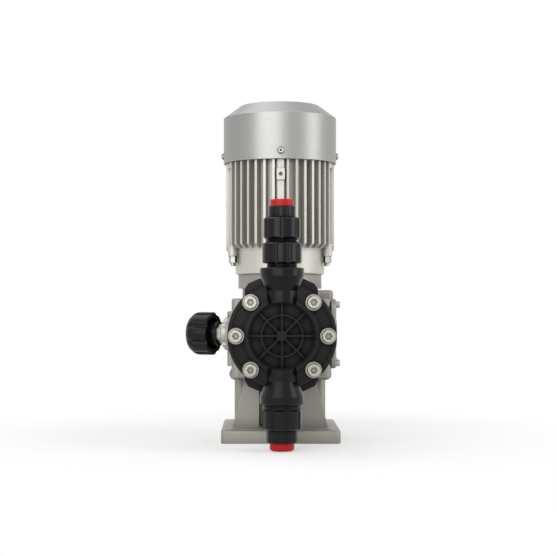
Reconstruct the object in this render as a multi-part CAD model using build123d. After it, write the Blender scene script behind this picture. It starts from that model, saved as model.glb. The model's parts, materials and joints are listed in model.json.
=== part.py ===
from build123d import *
import os
from math import atan2, cos, degrees, hypot, pi, radians, sin, sqrt, tan

# Mechanical diaphragm metering pump: a vertical motor turns a worm, whose wheel carries
# two eccentrics that push a rod and a diaphragm.  Millimetres, +Z up, the pump head
# faces -Y.  The origin is on the floor, at the centre of the four foot slots, under the
# motor axis.

# ---------------------------------------------------------------- driving dimensions

# fits and small clearances
RUN_GAP = 0.05          # radial running clearance of a shaft or rod in its bore
SLIDE_GAP = 0.1         # clearance between parts that are screwed or slipped together
CONTACT_GAP = 0.3       # gap kept between driving faces that only meet at one moment

# base plate and pedestal
BASE_WIDTH = 125.6
BASE_DEPTH = 136.0
BASE_THICK = 14.0
BASE_CORNER = 6.0
BASE_EDGE = 2.0
SLOT_LENGTH = 13.0
SLOT_WIDTH = 9.0
SLOT_SPACING_X = 93.6
SLOT_SPACING_Y = 112.0
COLUMN_HALF_WIDTH = 49.5
COLUMN_FRONT = -12.0
COLUMN_BACK = 38.0
PANEL_FRONT = -27.0
PANEL_FOOT_HALF = 51.5
PANEL_TOP_HALF = 39.5
PANEL_TOP_Z = 58.0
RECESS_WIDTH = 46.0
RECESS_BACK = 8.0

# gear casing
CASE_LEFT = -52.0
CASE_RIGHT = 54.0
CASE_FRONT = -50.0
CASE_BACK = 48.0
CASE_LOW = 67.0
CASE_HIGH = 152.0
CASE_CORNER = 7.0
CASE_EDGE = 2.5
CASE_WALL = 8.0
PAD_LEFT = -56.5        # thicker lower part of the left wall
PAD_DROP = 14.0         # its top lies this far below the casing's
SHOULDER_RIGHT = 57.0
SHOULDER_HEIGHT = 9.0
LUG_RADIUS = 6.5        # cast lugs along the casing's lower edges
LUG_X = 48.0
LUG_Z = 71.5
NECK_RADIUS = 41.0
NECK_HEIGHT = 11.0
TOP_FLANGE_RADIUS = 45.5
TOP_FLANGE_THICK = 15.2
NECK_BORE = 27.0

# drive
SHAFT_Z = 114.5         # height of the head, push rod and worm wheel axis
GEAR_MODULE = 1.0
WHEEL_TEETH = 30
WORM_PITCH_RADIUS = 7.0
WORM_LENGTH = 16.0
WHEEL_WIDTH = 12.0
GEAR_BACKLASH = 0.1
ECCENTRIC_RADIUS = 19.0
ECCENTRIC_THROW = 2.5
ECCENTRIC_WIDTH = 7.0
ECCENTRIC_INNER = 9.0   # distance of each eccentric's inner face from the wheel's middle

# round front part of the casing, seen from the front: distances in front of the motor axis
LANTERN_RADIUS = 44.0
LANTERN_BORE = 30.0
FRONT_FLANGE_RADIUS = 52.0
FRONT_FLANGE_BACK = 79.0
FRONT_FLANGE_FACE = 89.0
PARTITION_THICK = 9.0
ROD_RADIUS = 6.0
FOLLOWER_RADIUS = 17.5
FOLLOWER_THICK = 4.0
BUSH_RADIUS = 9.5

# stroke adjuster
ADJUST_ANGLE = 22.0     # the adjuster's axis leans this far back from the side
ADJUST_REACH = 58.0     # where its axis meets the rod's cone, in front of the motor axis
CONE_RADIUS = 9.5       # radius of the cone there
PLUNGER_RADIUS = 5.0
SPINDLE_RADIUS = 4.0
SPINDLE_PITCH = 1.25
BOSS_RADIUS = 20.0
BOSS_END = 45.0         # distances from the cone along the adjuster's axis
HUB_SPIGOT_RADIUS = 9.0
HUB_SPIGOT_START = 38.0
HUB_FLANGE_RADIUS = 18.0
HUB_FLANGE_END = 51.5
HUB_NUT_RADIUS = 11.0
HUB_NUT_END = 59.5
SLEEVE_RADIUS = 13.0
SLEEVE_END = 74.0
KNOB_RADIUS = 23.0
KNOB_START = 66.2
KNOB_END = 93.6
KNOB_FLUTES = 8

# pump head, distances in front of the motor axis
BACK_PLATE_FACE = 97.0
HEAD_FACE = 145.0
HEAD_RADIUS = 54.2
HEAD_CHORD = 52.0       # flats at the four corners of the disc
HEAD_CHORD_ANGLE = 61.3
RIM_RADIUS = 37.4
RIM_HEIGHT = 1.5
RIM_POCKET_RADIUS = 50.5
RIM_POCKET_DEPTH = 1.6
SCREW_BOSS_RADIUS = 9.6
RECESS_RADIUS = 33.5
RECESS_LEDGE = 1.6
RECESS_LEDGE_FLOOR = 140.0
RECESS_FLOOR = 133.0
RIB_WIDTH = 2.0
RIB_HEIGHT = 7.0
RING_RIB_RADIUS = 20.6
HUB_RIB_RADIUS = 5.3
RIB_COUNT = 8
DIAPHRAGM_RADIUS = 40.5
DIAPHRAGM_THICK = 2.0
CHAMBER_RADIUS = 33.0
CHAMBER_DEPTH = 6.0
BOLT_CIRCLE = 91.2
BOLT_ANGLES = (0, 47, 133, 180, 227, 313)
HEAD_SCREW_RADIUS = 4.0
HEAD_SCREW_CAP = 6.5
HEAD_SCREW_CAP_HEIGHT = 8.0
HEAD_SCREW_KEY = 3.6
WASHER_RADIUS = 8.0
WASHER_THICK = 1.6

# valves, on one vertical axis
VALVE_REACH = 138.0
BOSS_HALF_HEIGHT = 67.5
VALVE_BOSS_RADIUS = 22.0
VALVE_NECK_RADIUS = 16.3
POCKET_RADIUS = 14.0
POCKET_DEPTH = 22.5
BALL_RADIUS = 5.5
BALL_LIFT = 3.0
SEAT_RADIUS = 9.0
SEAT_HOLE = 4.2
SEAT_LIP = 4.6
SEAT_HEIGHT = 6.0
VALVE_BORE = 7.6
PORT_RADIUS = 7.0
SUCTION_RING = 5.2
SUCTION_NUT_LENGTH = 20.0
SUCTION_CONNECTOR = 13.2
SUCTION_PLUG = 7.6
SUCTION_NUT_RADIUS = 19.6
DISCHARGE_NECK = 4.5
LOWER_NUT_LENGTH = 20.3
NUT_GAP = 4.1
UPPER_NUT_LENGTH = 20.7
DISCHARGE_CONNECTOR = 11.6
DISCHARGE_PLUG = 6.6
LOWER_NUT_RADIUS = 19.7
UPPER_NUT_RADIUS = 18.4

# motor
ADAPTER_HEIGHT = 23.3
SHIELD_THICK = 2.6
FRAME_LENGTH = 95.9
FRAME_RADIUS = 49.0
ADAPTER_STEP = 0.5      # the frame stands out this far over the adapter
ADAPTER_RADIUS = FRAME_RADIUS - ADAPTER_STEP
FRAME_BORE = 44.0
FIN_HEIGHT = 9.5
FIN_RADIUS = FRAME_RADIUS + FIN_HEIGHT
FIN_THICK = 2.6
FIN_FIRST = 7.5
FIN_STEP = 9.6
FIN_MARGIN = 3.0
PAD_STEP = 0.2          # the side pads stand out this far over the fins
PAD_RADIUS = FIN_RADIUS + PAD_STEP
PAD_HALF = 11.0
WEB_WIDTH = 7.0
EARTH_PAD_DROP = 11.0   # its top lies this far below the frame's
EARTH_PAD_LENGTH = 12.0
TIE_OUTSET = 2.2        # from the frame's barrel out to the bolts
TIE_X = FRAME_RADIUS + TIE_OUTSET
TIE_Y = 15.0
TIE_RADIUS = 2.5
STATOR_LENGTH = 48.0
ROTOR_RADIUS = 24.0
AIR_GAP = 0.3
MOTOR_SHAFT_RADIUS = 7.5
COWL_GAP = 3.0          # from the fins out to the cowl
COWL_RADIUS = FIN_RADIUS + COWL_GAP
COWL_WALL = 1.2
COWL_OVERLAP = 1.0      # how far its rim hangs over the frame
COWL_LENGTH = 62.8
COWL_BEVEL = 13.5
COWL_SHOULDER = 18.5    # width of the bevel round its top
COWL_TOP_RADIUS = COWL_RADIUS - COWL_SHOULDER
COWL_SCREW_HEIGHT = 8.5
FAN_INSET = 11.5        # from the cowl in to the blades' tips
FAN_RADIUS = COWL_RADIUS - FAN_INSET
FAN_HEIGHT = 21.0
FAN_BLADE_GAP = 17.6    # between the blades and the inside of the cowl's top
FAN_BLADES = 8

# terminal box, behind the motor
BOX_HALF_WIDTH = 35.0
BOX_DROP = 14.0         # its top lies this far below the frame's
BOX_LENGTH = 64.0
BOX_BACK = 86.0
BOX_WALL = 3.0
LID_THICK = 7.0
GLAND_BORE = 4.5
GLAND_RADIUS = 8.0
GLAND_LENGTH = 16.0

# ---------------------------------------------------------------- derived places

SHOULDER_HIGH = CASE_HIGH + SHOULDER_HEIGHT
PAD_TOP = CASE_HIGH - PAD_DROP
NECK_TOP = CASE_HIGH + NECK_HEIGHT
TOP_FLANGE_TOP = NECK_TOP + TOP_FLANGE_THICK
ADAPTER_TOP = TOP_FLANGE_TOP + ADAPTER_HEIGHT
SHIELD_TOP = ADAPTER_TOP + SHIELD_THICK
FRAME_TOP = SHIELD_TOP + FRAME_LENGTH
EARTH_PAD_HIGH = FRAME_TOP - EARTH_PAD_DROP
EARTH_PAD_LOW = EARTH_PAD_HIGH - EARTH_PAD_LENGTH
STATOR_LOW = (SHIELD_TOP + FRAME_TOP - STATOR_LENGTH) / 2
STATOR_HIGH = STATOR_LOW + STATOR_LENGTH
COWL_LOW = FRAME_TOP - COWL_OVERLAP
COWL_TOP = COWL_LOW + COWL_LENGTH
COWL_CREASE = COWL_TOP - COWL_BEVEL
COWL_SCREW_Z = COWL_LOW + COWL_SCREW_HEIGHT
FAN_HIGH = COWL_TOP - COWL_WALL - FAN_BLADE_GAP
FAN_LOW = FAN_HIGH - FAN_HEIGHT
BOX_HIGH = FRAME_TOP - BOX_DROP
BOX_LOW = BOX_HIGH - BOX_LENGTH
WHEEL_PITCH_RADIUS = GEAR_MODULE * WHEEL_TEETH / 2
WHEEL_REACH = WORM_PITCH_RADIUS + WHEEL_PITCH_RADIUS
FOLLOWER_BACK = WHEEL_REACH + ECCENTRIC_RADIUS + ECCENTRIC_THROW + CONTACT_GAP
FOLLOWER_FRONT = FOLLOWER_BACK + FOLLOWER_THICK
STROKE = 2 * ECCENTRIC_THROW
PLUNGER_TRAVEL = STROKE * sin(radians(ADJUST_ANGLE))
KNOB_TURNS = PLUNGER_TRAVEL / SPINDLE_PITCH
CONE_BACK = ADJUST_REACH - PLUNGER_RADIUS
CONE_FRONT = ADJUST_REACH + PLUNGER_RADIUS + STROKE * cos(radians(ADJUST_ANGLE)) ** 2
PARTITION_BACK = FRONT_FLANGE_FACE - 2.0 - PARTITION_THICK
PARTITION_FRONT = FRONT_FLANGE_FACE - 2.0
INSERT_BACK = PARTITION_FRONT + STROKE + 2.0
HEAD_BACK = BACK_PLATE_FACE
VALVE_TOP = SHAFT_Z + BOSS_HALF_HEIGHT
VALVE_BOTTOM = SHAFT_Z - BOSS_HALF_HEIGHT
BASE = (Align.CENTER, Align.CENTER, Align.MIN)
ADJUSTER = Plane(
    origin=(-CONE_RADIUS, -ADJUST_REACH, SHAFT_Z),
    x_dir=(0, 0, 1),
    z_dir=(-cos(radians(ADJUST_ANGLE)), sin(radians(ADJUST_ANGLE)), 0),
).location
FRONT = Pos(0, 0, SHAFT_Z) * Rot(90, 0, 0)      # local Z points out of the head's face
SIDEWAYS = Pos(0, -WHEEL_REACH, SHAFT_Z) * Rot(0, 90, 0)    # local Z points along +X
VALVES = Pos(0, -VALVE_REACH, 0)


# ---------------------------------------------------------------- helpers


def disc(radius, low, high, inner=0.0):
    """A round solid about Z from low to high, bored when inner is given."""
    body = Pos(0, 0, low) * Cylinder(radius, high - low, align=BASE)
    if inner:
        body -= Pos(0, 0, low) * Cylinder(inner, high - low, align=BASE)
    return body


def turned(profile):
    """A solid of revolution about Z from (radius, height) corners."""
    outline = Polyline(*[(radius, 0, height) for radius, height in profile], close=True)
    return revolve(make_face(outline), Axis.Z)


def block(x, y, z):
    """A box between the two values given for each axis."""
    size = (x[1] - x[0], y[1] - y[0], z[1] - z[0])
    return Pos(x[0], y[0], z[0]) * Box(*size, align=(Align.MIN,) * 3)


def rounded_block(x, y, z, radius):
    """A box whose upright edges are rounded."""
    return fillet(block(x, y, z).edges().filter_by(Axis.Z), radius)


def around(shape, angles):
    """Copies of a shape turned about Z."""
    return [Rot(0, 0, angle) * shape for angle in angles]


def group(solids):
    """Separate solids kept as one node."""
    return Compound(children=list(solids))


def polar(radius, angle):
    """A place on a circle about Z."""
    return Pos(radius * cos(radians(angle)), radius * sin(radians(angle)), 0)


def socket_screw(radius, length, head_radius, head_height, key_radius):
    """A socket-head screw: its head sits on Z = 0 and its shank points down."""
    screw = disc(head_radius, 0, head_height) + disc(radius, -length, 0)
    key = Pos(0, 0, head_height * 0.45) * extrude(RegularPolygon(key_radius, 6), head_height)
    return screw - key


def hex_nut(radius, hole, height):
    """A hexagon nut on Z = 0, sized to its corners."""
    return extrude(RegularPolygon(radius, 6), height) - disc(hole, 0, height)


def domed_screw(radius, length, head_radius, head_height):
    """A pan-head screw: its head sits on Z = 0 and its shank points down."""
    dome = turned([
        (0, 0), (head_radius, 0), (head_radius, head_height * 0.4),
        (head_radius * 0.7, head_height * 0.85), (head_radius * 0.35, head_height),
        (0, head_height),
    ])
    slot = block((-head_radius, head_radius), (-0.5, 0.5), (head_height * 0.6, head_height))
    return dome + disc(radius, -length, 0) - slot


def ball_bearing(bore, outer, width):
    """A shielded ball bearing from Z = 0, with the groove between its two rings."""
    inner_ring = bore + (outer - bore) * 0.28
    outer_ring = bore + (outer - bore) * 0.72
    dish = 0.6
    return turned([
        (bore, 0), (inner_ring, 0), (inner_ring, dish), (outer_ring, dish), (outer_ring, 0),
        (outer, 0), (outer, width), (outer_ring, width), (outer_ring, width - dish),
        (inner_ring, width - dish), (inner_ring, width), (bore, width),
    ])


def lobed(radius, low, high, lobes, groove, edge, turn=0.0):
    """A grip of soft lobes: a round body with shallow grooves and bevelled ends."""
    body = turned([
        (0, low), (radius - edge, low), (radius, low + edge),
        (radius, high - edge), (radius - edge, high), (0, high),
    ])
    step = 360 / lobes
    cutter = Pos(radius + groove * 0.55, 0, 0) * disc(groove, low, high)
    return body - around(cutter, [turn + step * n for n in range(lobes)])


# ---------------------------------------------------------------- housing

BEARING_6004 = (10.0, 21.0, 12.0)       # bore radius, outer radius, width
BEARING_6000 = (5.0, 13.0, 8.0)
BEARING_6001 = (6.0, 14.0, 8.0)
BEARING_6202 = (7.5, 17.5, 11.0)
BEARING_6201 = (6.0, 16.0, 10.0)
WORM_SEAT_LOW = NECK_TOP - BEARING_6004[2]
WORM_FOOT_LOW = SHAFT_Z - 30.5
WHEEL_SEAT_LEFT = 31.0      # distance of the left wheel bearing's mouth from the middle
WHEEL_SEAT_RIGHT = 34.0
COVER_OPENING = 24.0
COVER_DEPTH = 56.0
COVER_HEIGHT = 74.0
COVER_THICK = 5.0
COVER_SCREW_INSET = 6.0
ADAPTER_SCREW_CIRCLE = 40.5
FLANGE_SCREW_CIRCLE = 37.5

# standard screws: shank radius, then the radius and height of the head and the key's radius
SCREW_M3 = 1.5
DOME_M3 = 2.8
DOME_M3_HEIGHT = 2.0
SCREW_M4 = 2.0
CAP_M4 = 3.5
CAP_M4_HEIGHT = 4.0
KEY_M4 = 1.7
DOME_M4 = 3.8
DOME_M4_HEIGHT = 2.6
SCREW_M5 = 2.5
CAP_M5 = 4.25
CAP_M5_HEIGHT = 5.0
KEY_M5 = 2.3
OIL_PLUG_RADIUS = 7.0
SIGHT_RADIUS = 9.0


def base_and_pedestal():
    half_width, half_depth = BASE_WIDTH / 2, BASE_DEPTH / 2
    plate = rounded_block(
        (-half_width, half_width), (-half_depth, half_depth), (0, BASE_THICK), BASE_CORNER
    )
    plate = fillet(plate.faces().sort_by(Axis.Z)[-1].edges(), BASE_EDGE)
    slot = extrude(SlotOverall(SLOT_LENGTH, SLOT_WIDTH), BASE_THICK)
    for x in (-SLOT_SPACING_X / 2, SLOT_SPACING_X / 2):
        for y in (-SLOT_SPACING_Y / 2, SLOT_SPACING_Y / 2):
            plate -= Pos(x, y, 0) * slot
    column = rounded_block(
        (-COLUMN_HALF_WIDTH, COLUMN_HALF_WIDTH),
        (COLUMN_FRONT, COLUMN_BACK),
        (BASE_THICK / 2, CASE_LOW + CASE_CORNER),
        CASE_CORNER,
    )
    recess_half = RECESS_WIDTH / 2
    panel = extrude(
        Plane.XZ.offset(-COLUMN_FRONT - 1.0) * make_face(Polyline(
            (recess_half, BASE_THICK / 2), (PANEL_FOOT_HALF, BASE_THICK / 2),
            (PANEL_FOOT_HALF, BASE_THICK), (PANEL_TOP_HALF, PANEL_TOP_Z),
            (PANEL_TOP_HALF, CASE_LOW + CASE_CORNER), (recess_half, CASE_LOW + CASE_CORNER),
            close=True,
        )),
        COLUMN_FRONT - PANEL_FRONT + 1.0,
    )
    recess = block(
        (-recess_half, recess_half), (PANEL_FRONT - 1, RECESS_BACK), (BASE_THICK, CASE_LOW)
    )
    return plate + column + panel + mirror(panel, Plane.YZ) - recess


def casing_outside():
    case = rounded_block(
        (CASE_LEFT, CASE_RIGHT), (CASE_FRONT, CASE_BACK), (CASE_LOW, CASE_HIGH), CASE_CORNER
    )
    case = fillet(
        case.faces().sort_by(Axis.Z)[-1].edges() + case.faces().sort_by(Axis.Z)[0].edges(),
        CASE_EDGE,
    )
    pad = rounded_block(
        (PAD_LEFT, PAD_LEFT + CASE_CORNER * 2), (CASE_FRONT + 4, CASE_BACK - 4),
        (CASE_LOW + LUG_RADIUS * 2, PAD_TOP), 4.0,
    )
    shoulder = rounded_block(
        (0, SHOULDER_RIGHT), (-30, 30), (CASE_HIGH - 0.3, SHOULDER_HIGH), 6.0
    )
    shoulder = fillet(shoulder.faces().sort_by(Axis.Z)[-1].edges(), 3.0)
    lugs = [
        Pos(x, 0, LUG_Z) * Rot(90, 0, 0) * Cylinder(LUG_RADIUS, CASE_BACK - CASE_FRONT - 20)
        for x in (-LUG_X, LUG_X)
    ]
    neck = disc(NECK_RADIUS, CASE_HIGH - 4, NECK_TOP + 1)
    flange = disc(TOP_FLANGE_RADIUS, NECK_TOP, TOP_FLANGE_TOP)
    lantern = FRONT * disc(LANTERN_RADIUS, -CASE_FRONT - 6, FRONT_FLANGE_FACE)
    front_flange = FRONT * disc(FRONT_FLANGE_RADIUS, FRONT_FLANGE_BACK, FRONT_FLANGE_FACE)
    boss = ADJUSTER * disc(BOSS_RADIUS, 22.0, BOSS_END)
    return case + pad + shoulder + lugs + neck + flange + lantern + front_flange + boss


def casing_inside():
    cavity = rounded_block(
        (CASE_LEFT + CASE_WALL, CASE_RIGHT - CASE_WALL),
        (CASE_FRONT + CASE_WALL, CASE_BACK - CASE_WALL),
        (CASE_LOW + CASE_WALL + 3, CASE_HIGH - CASE_WALL),
        CASE_CORNER,
    )
    kept = disc(BEARING_6000[1] + 5, CASE_LOW, WORM_FOOT_LOW + BEARING_6000[2])
    kept += SIDEWAYS * disc(BEARING_6001[1] + 4.5, CASE_LEFT, -WHEEL_SEAT_LEFT)
    lantern_bore = FRONT * disc(LANTERN_BORE, -CASE_FRONT - CASE_WALL - 2, PARTITION_BACK)
    return cavity - kept + lantern_bore


def casing_bores():
    sizes = BEARING_6004
    bores = [
        disc(NECK_BORE, NECK_TOP, TOP_FLANGE_TOP),
        disc(sizes[1], WORM_SEAT_LOW, NECK_TOP),
        disc(sizes[1] - 4, CASE_HIGH - CASE_WALL - 2, WORM_SEAT_LOW),
        disc(BEARING_6000[1], WORM_FOOT_LOW, WORM_FOOT_LOW + BEARING_6000[2]),
        disc(BEARING_6000[0] + 1.5, WORM_FOOT_LOW - 3, WORM_FOOT_LOW),
        SIDEWAYS * disc(BEARING_6001[1], -WHEEL_SEAT_LEFT - BEARING_6001[2], -WHEEL_SEAT_LEFT),
        SIDEWAYS * disc(
            BEARING_6001[0] + 1.5, -WHEEL_SEAT_LEFT - BEARING_6001[2] - 3,
            -WHEEL_SEAT_LEFT - BEARING_6001[2],
        ),
        SIDEWAYS * disc(COVER_OPENING, WHEEL_SEAT_RIGHT - 1, CASE_RIGHT + 6),
        FRONT * disc(BUSH_RADIUS, PARTITION_BACK, PARTITION_FRONT),
        FRONT * disc(CHAMBER_RADIUS + 1, PARTITION_FRONT, FRONT_FLANGE_FACE),
        ADJUSTER * disc(PLUNGER_RADIUS + RUN_GAP, 15.0, HUB_SPIGOT_START),
        ADJUSTER * disc(HUB_SPIGOT_RADIUS + RUN_GAP, HUB_SPIGOT_START, BOSS_END),
        ADJUSTER * disc(HUB_FLANGE_RADIUS + 1, BOSS_END, KNOB_START),
    ]
    for angle in (45, 135, 225, 315):
        bores.append(polar(ADAPTER_SCREW_CIRCLE, angle) * disc(
            SCREW_M5 + RUN_GAP, TOP_FLANGE_TOP - 13, TOP_FLANGE_TOP
        ))
    for angle in BOLT_ANGLES:
        bores.append(FRONT * polar(BOLT_CIRCLE / 2, angle) * disc(
            HEAD_SCREW_RADIUS + RUN_GAP, FRONT_FLANGE_BACK - 4, FRONT_FLANGE_FACE
        ))
    for x, y in cover_screw_places():
        bores.append(SIDEWAYS * Pos(x, y, 0) * disc(2.0 + RUN_GAP, CASE_RIGHT - 10, CASE_RIGHT))
    return bores


def oil_fitting_places():
    """Filler high and drain low on the back wall, and the level sight between them."""
    back = Pos(0, CASE_BACK, 0) * Rot(-90, 0, 0)
    return (
        Pos(-28, 0, CASE_HIGH - 20) * back,
        Pos(28, 0, CASE_LOW + 20) * back,
        Pos(28, 0, SHAFT_Z) * back,
    )


def make_housing():
    body = base_and_pedestal() + casing_outside()
    body -= casing_inside()
    body -= casing_bores()
    filler, drain, sight = oil_fitting_places()
    for place in (filler, drain):
        body -= place * disc(OIL_PLUG_RADIUS - 2 + RUN_GAP, -CASE_WALL, 1)
    body -= sight * disc(SIGHT_RADIUS - 2 + RUN_GAP, -CASE_WALL, 1)
    return body


def make_oil_plugs():
    filler, drain, _ = oil_fitting_places()
    plug = extrude(RegularPolygon(OIL_PLUG_RADIUS, 6), 5) + disc(OIL_PLUG_RADIUS + 1.5, 0, 1.5)
    plug += disc(OIL_PLUG_RADIUS - 2, -CASE_WALL, 0)
    return group([filler * plug, drain * plug])


def make_level_sight():
    _, _, sight = oil_fitting_places()
    return sight * (disc(SIGHT_RADIUS, 0, 3.5) + disc(SIGHT_RADIUS - 2, -CASE_WALL, 0))


def cover_screw_places():
    """Across the cover in its own frame, where local X points down and local Y back."""
    half_high = COVER_HEIGHT / 2 - COVER_SCREW_INSET
    half_deep = COVER_DEPTH / 2 - COVER_SCREW_INSET
    return [(x, y) for x in (-half_high, half_high) for y in (-half_deep, half_deep)]


def make_side_cover():
    half_high, half_deep = COVER_HEIGHT / 2, COVER_DEPTH / 2
    plate = rounded_block(
        (-half_high, half_high), (-half_deep, half_deep),
        (CASE_RIGHT, CASE_RIGHT + COVER_THICK), 10.0,
    )
    plate = chamfer(plate.faces().sort_by(Axis.Z)[-1].edges(), 1.0)
    seat_low = WHEEL_SEAT_RIGHT
    cover = plate + disc(COVER_OPENING - RUN_GAP, seat_low, CASE_RIGHT)
    cover += disc(COVER_OPENING * 0.62, CASE_RIGHT, CASE_RIGHT + COVER_THICK + 1.5)
    cover -= disc(BEARING_6001[1], seat_low, seat_low + BEARING_6001[2])
    cover -= disc(BEARING_6001[0] + 1.5, seat_low, seat_low + BEARING_6001[2] + 3)
    for x, y in cover_screw_places():
        cover -= Pos(x, y, 0) * disc(SCREW_M4 + RUN_GAP, CASE_RIGHT, CASE_RIGHT + COVER_THICK)
    return SIDEWAYS * cover


COVER_SCREW_BITE = 9.0      # how far the screws reach into the casing


def make_side_cover_screws():
    screw = socket_screw(
        SCREW_M4, COVER_THICK + COVER_SCREW_BITE, CAP_M4, CAP_M4_HEIGHT, KEY_M4
    )
    top = CASE_RIGHT + COVER_THICK
    return group([SIDEWAYS * Pos(x, y, top) * screw for x, y in cover_screw_places()])


# ---------------------------------------------------------------- worm drive

WORM_CENTRE_LOW = SHAFT_Z - WORM_LENGTH / 2
SOCKET_RADIUS = 5.5         # motor shaft end in the worm shaft's socket
ECCENTRIC_SHAFT_RADIUS = 8.0


def make_worm_shaft():
    root = WORM_PITCH_RADIUS - 1.25 * GEAR_MODULE
    lead = pi * GEAR_MODULE
    tip = WORM_PITCH_RADIUS + GEAR_MODULE
    overlap = 0.2
    slope = tan(radians(20))
    half = (lead / 2 - GEAR_BACKLASH) / 2
    foot_half = half + (WORM_PITCH_RADIUS - root + overlap) * slope
    tip_half = half - GEAR_MODULE * slope
    section = make_face(Polyline(
        (root - overlap, 0, -foot_half), (tip, 0, -tip_half),
        (tip, 0, tip_half), (root - overlap, 0, foot_half), close=True,
    ))
    path = Helix(pitch=lead, height=WORM_LENGTH, radius=WORM_PITCH_RADIUS)
    thread = sweep(section, path=path, is_frenet=True)
    # the helix starts on +X; turned so that the thread crosses -Y at the wheel's height
    turns = WORM_LENGTH / 2 / lead
    thread = Rot(0, 0, -90 - 360 * turns) * thread
    shaft = turned([
        (0, WORM_FOOT_LOW - 1.5), (BEARING_6000[0] - RUN_GAP, WORM_FOOT_LOW - 1.5),
        (BEARING_6000[0] - RUN_GAP, WORM_FOOT_LOW + 8.5),
        (root, WORM_FOOT_LOW + 8.5), (root, SHAFT_Z + 15), (BEARING_6004[0] + 3, SHAFT_Z + 19),
        (BEARING_6004[0] + 3, WORM_SEAT_LOW - 0.5), (BEARING_6004[0] - RUN_GAP, WORM_SEAT_LOW - 0.5),
        (BEARING_6004[0] - RUN_GAP, NECK_TOP + 7),
        (SOCKET_RADIUS + RUN_GAP, NECK_TOP + 7),
        (SOCKET_RADIUS + RUN_GAP, SHAFT_Z + 26), (0, SHAFT_Z + 26),
    ])
    return shaft + Pos(0, 0, WORM_CENTRE_LOW) * thread


def make_motor_shaft():
    return turned([
        (0, SHAFT_Z + 26.5), (SOCKET_RADIUS, SHAFT_Z + 26.5), (SOCKET_RADIUS, ADAPTER_TOP - 14),
        (MOTOR_SHAFT_RADIUS - RUN_GAP, ADAPTER_TOP - 14),
        (MOTOR_SHAFT_RADIUS - RUN_GAP, SHIELD_TOP + 12),
        (MOTOR_SHAFT_RADIUS + 2, SHIELD_TOP + 12),
        (MOTOR_SHAFT_RADIUS + 2, FRAME_TOP - 6), (BEARING_6201[0] - RUN_GAP, FRAME_TOP - 6),
        (BEARING_6201[0] - RUN_GAP, FAN_HIGH + 2), (0, FAN_HIGH + 2),
    ])


def tooth_outline():
    """The wheel's toothed rim in plan, with a gap facing +Y in the wheel's local frame."""
    root = WHEEL_PITCH_RADIUS - 1.25 * GEAR_MODULE
    tip = WHEEL_PITCH_RADIUS + GEAR_MODULE
    foot_half = degrees(0.9 * GEAR_MODULE / root)
    tip_half = degrees(0.34 * GEAR_MODULE / tip)
    step = 360 / WHEEL_TEETH
    points = []
    for tooth in range(WHEEL_TEETH):
        middle = 90 + step * (tooth + 0.5)
        for radius, angle in (
            (root, middle - foot_half), (tip, middle - tip_half),
            (tip, middle + tip_half), (root, middle + foot_half),
        ):
            points.append((radius * cos(radians(angle)), radius * sin(radians(angle))))
    return make_face(Polyline(*points, close=True))


def make_worm_wheel():
    lead_angle = atan2(GEAR_MODULE / 2, WORM_PITCH_RADIUS)
    twist = degrees(WHEEL_WIDTH * tan(lead_angle) / WHEEL_PITCH_RADIUS)
    section = Pos(0, 0, -WHEEL_WIDTH / 2) * Rot(0, 0, -twist / 2) * tooth_outline()
    rim = Solid.extrude_linear_with_rotation(
        section.face(), (0, 0, -WHEEL_WIDTH / 2), (0, 0, WHEEL_WIDTH), twist
    )
    wheel = Part(rim.wrapped) - disc(ECCENTRIC_SHAFT_RADIUS, -WHEEL_WIDTH, WHEEL_WIDTH)
    return SIDEWAYS * wheel




def make_eccentric_shaft():
    journal = BEARING_6001[0] - RUN_GAP
    outer = ECCENTRIC_INNER + ECCENTRIC_WIDTH
    shaft = disc(ECCENTRIC_SHAFT_RADIUS, -WHEEL_SEAT_LEFT + 1, WHEEL_SEAT_RIGHT - 1)
    shaft += disc(journal, -WHEEL_SEAT_LEFT - BEARING_6001[2], WHEEL_SEAT_RIGHT + BEARING_6001[2])
    # at rest both eccentrics point away from the push rod, to local +Y
    for low, high in ((-outer, -ECCENTRIC_INNER), (ECCENTRIC_INNER, outer)):
        shaft += Pos(0, ECCENTRIC_THROW, 0) * disc(ECCENTRIC_RADIUS, low, high)
    for low, high in ((-ECCENTRIC_INNER, -WHEEL_WIDTH / 2), (WHEEL_WIDTH / 2, ECCENTRIC_INNER)):
        shaft += disc(ECCENTRIC_SHAFT_RADIUS + 3, low, high)
    return SIDEWAYS * shaft


def make_wheel_bearings():
    bearing = ball_bearing(*BEARING_6001)
    left = SIDEWAYS * Pos(0, 0, -WHEEL_SEAT_LEFT - BEARING_6001[2]) * bearing
    right = SIDEWAYS * Pos(0, 0, WHEEL_SEAT_RIGHT) * bearing
    return group([left, right])


def make_worm_bearings():
    upper = Pos(0, 0, WORM_SEAT_LOW) * ball_bearing(*BEARING_6004)
    return group([upper, Pos(0, 0, WORM_FOOT_LOW) * ball_bearing(*BEARING_6000)])


# ---------------------------------------------------------------- push rod and diaphragm

SPRING_WIRE = 1.1
SPRING_RADIUS = 9.6
SPRING_TURNS = 3.0
STUD_RADIUS = 3.0


def cone_radius(reach):
    return CONE_RADIUS + (reach - ADJUST_REACH) * tan(radians(ADJUST_ANGLE))


def make_follower_disc():
    face = disc(FOLLOWER_RADIUS, FOLLOWER_BACK, FOLLOWER_FRONT)
    return FRONT * chamfer(face.edges(), 0.8)


def make_pushrod():
    neck = cone_radius(CONE_BACK) - 0.5
    rod = turned([
        (0, FOLLOWER_FRONT), (neck, FOLLOWER_FRONT), (neck, CONE_BACK),
        (cone_radius(CONE_BACK), CONE_BACK), (cone_radius(CONE_FRONT), CONE_FRONT),
        (ROD_RADIUS, CONE_FRONT), (ROD_RADIUS, INSERT_BACK), (STUD_RADIUS, INSERT_BACK),
        (STUD_RADIUS, INSERT_BACK - 14), (0, INSERT_BACK - 14),
    ])
    return FRONT * rod


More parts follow.
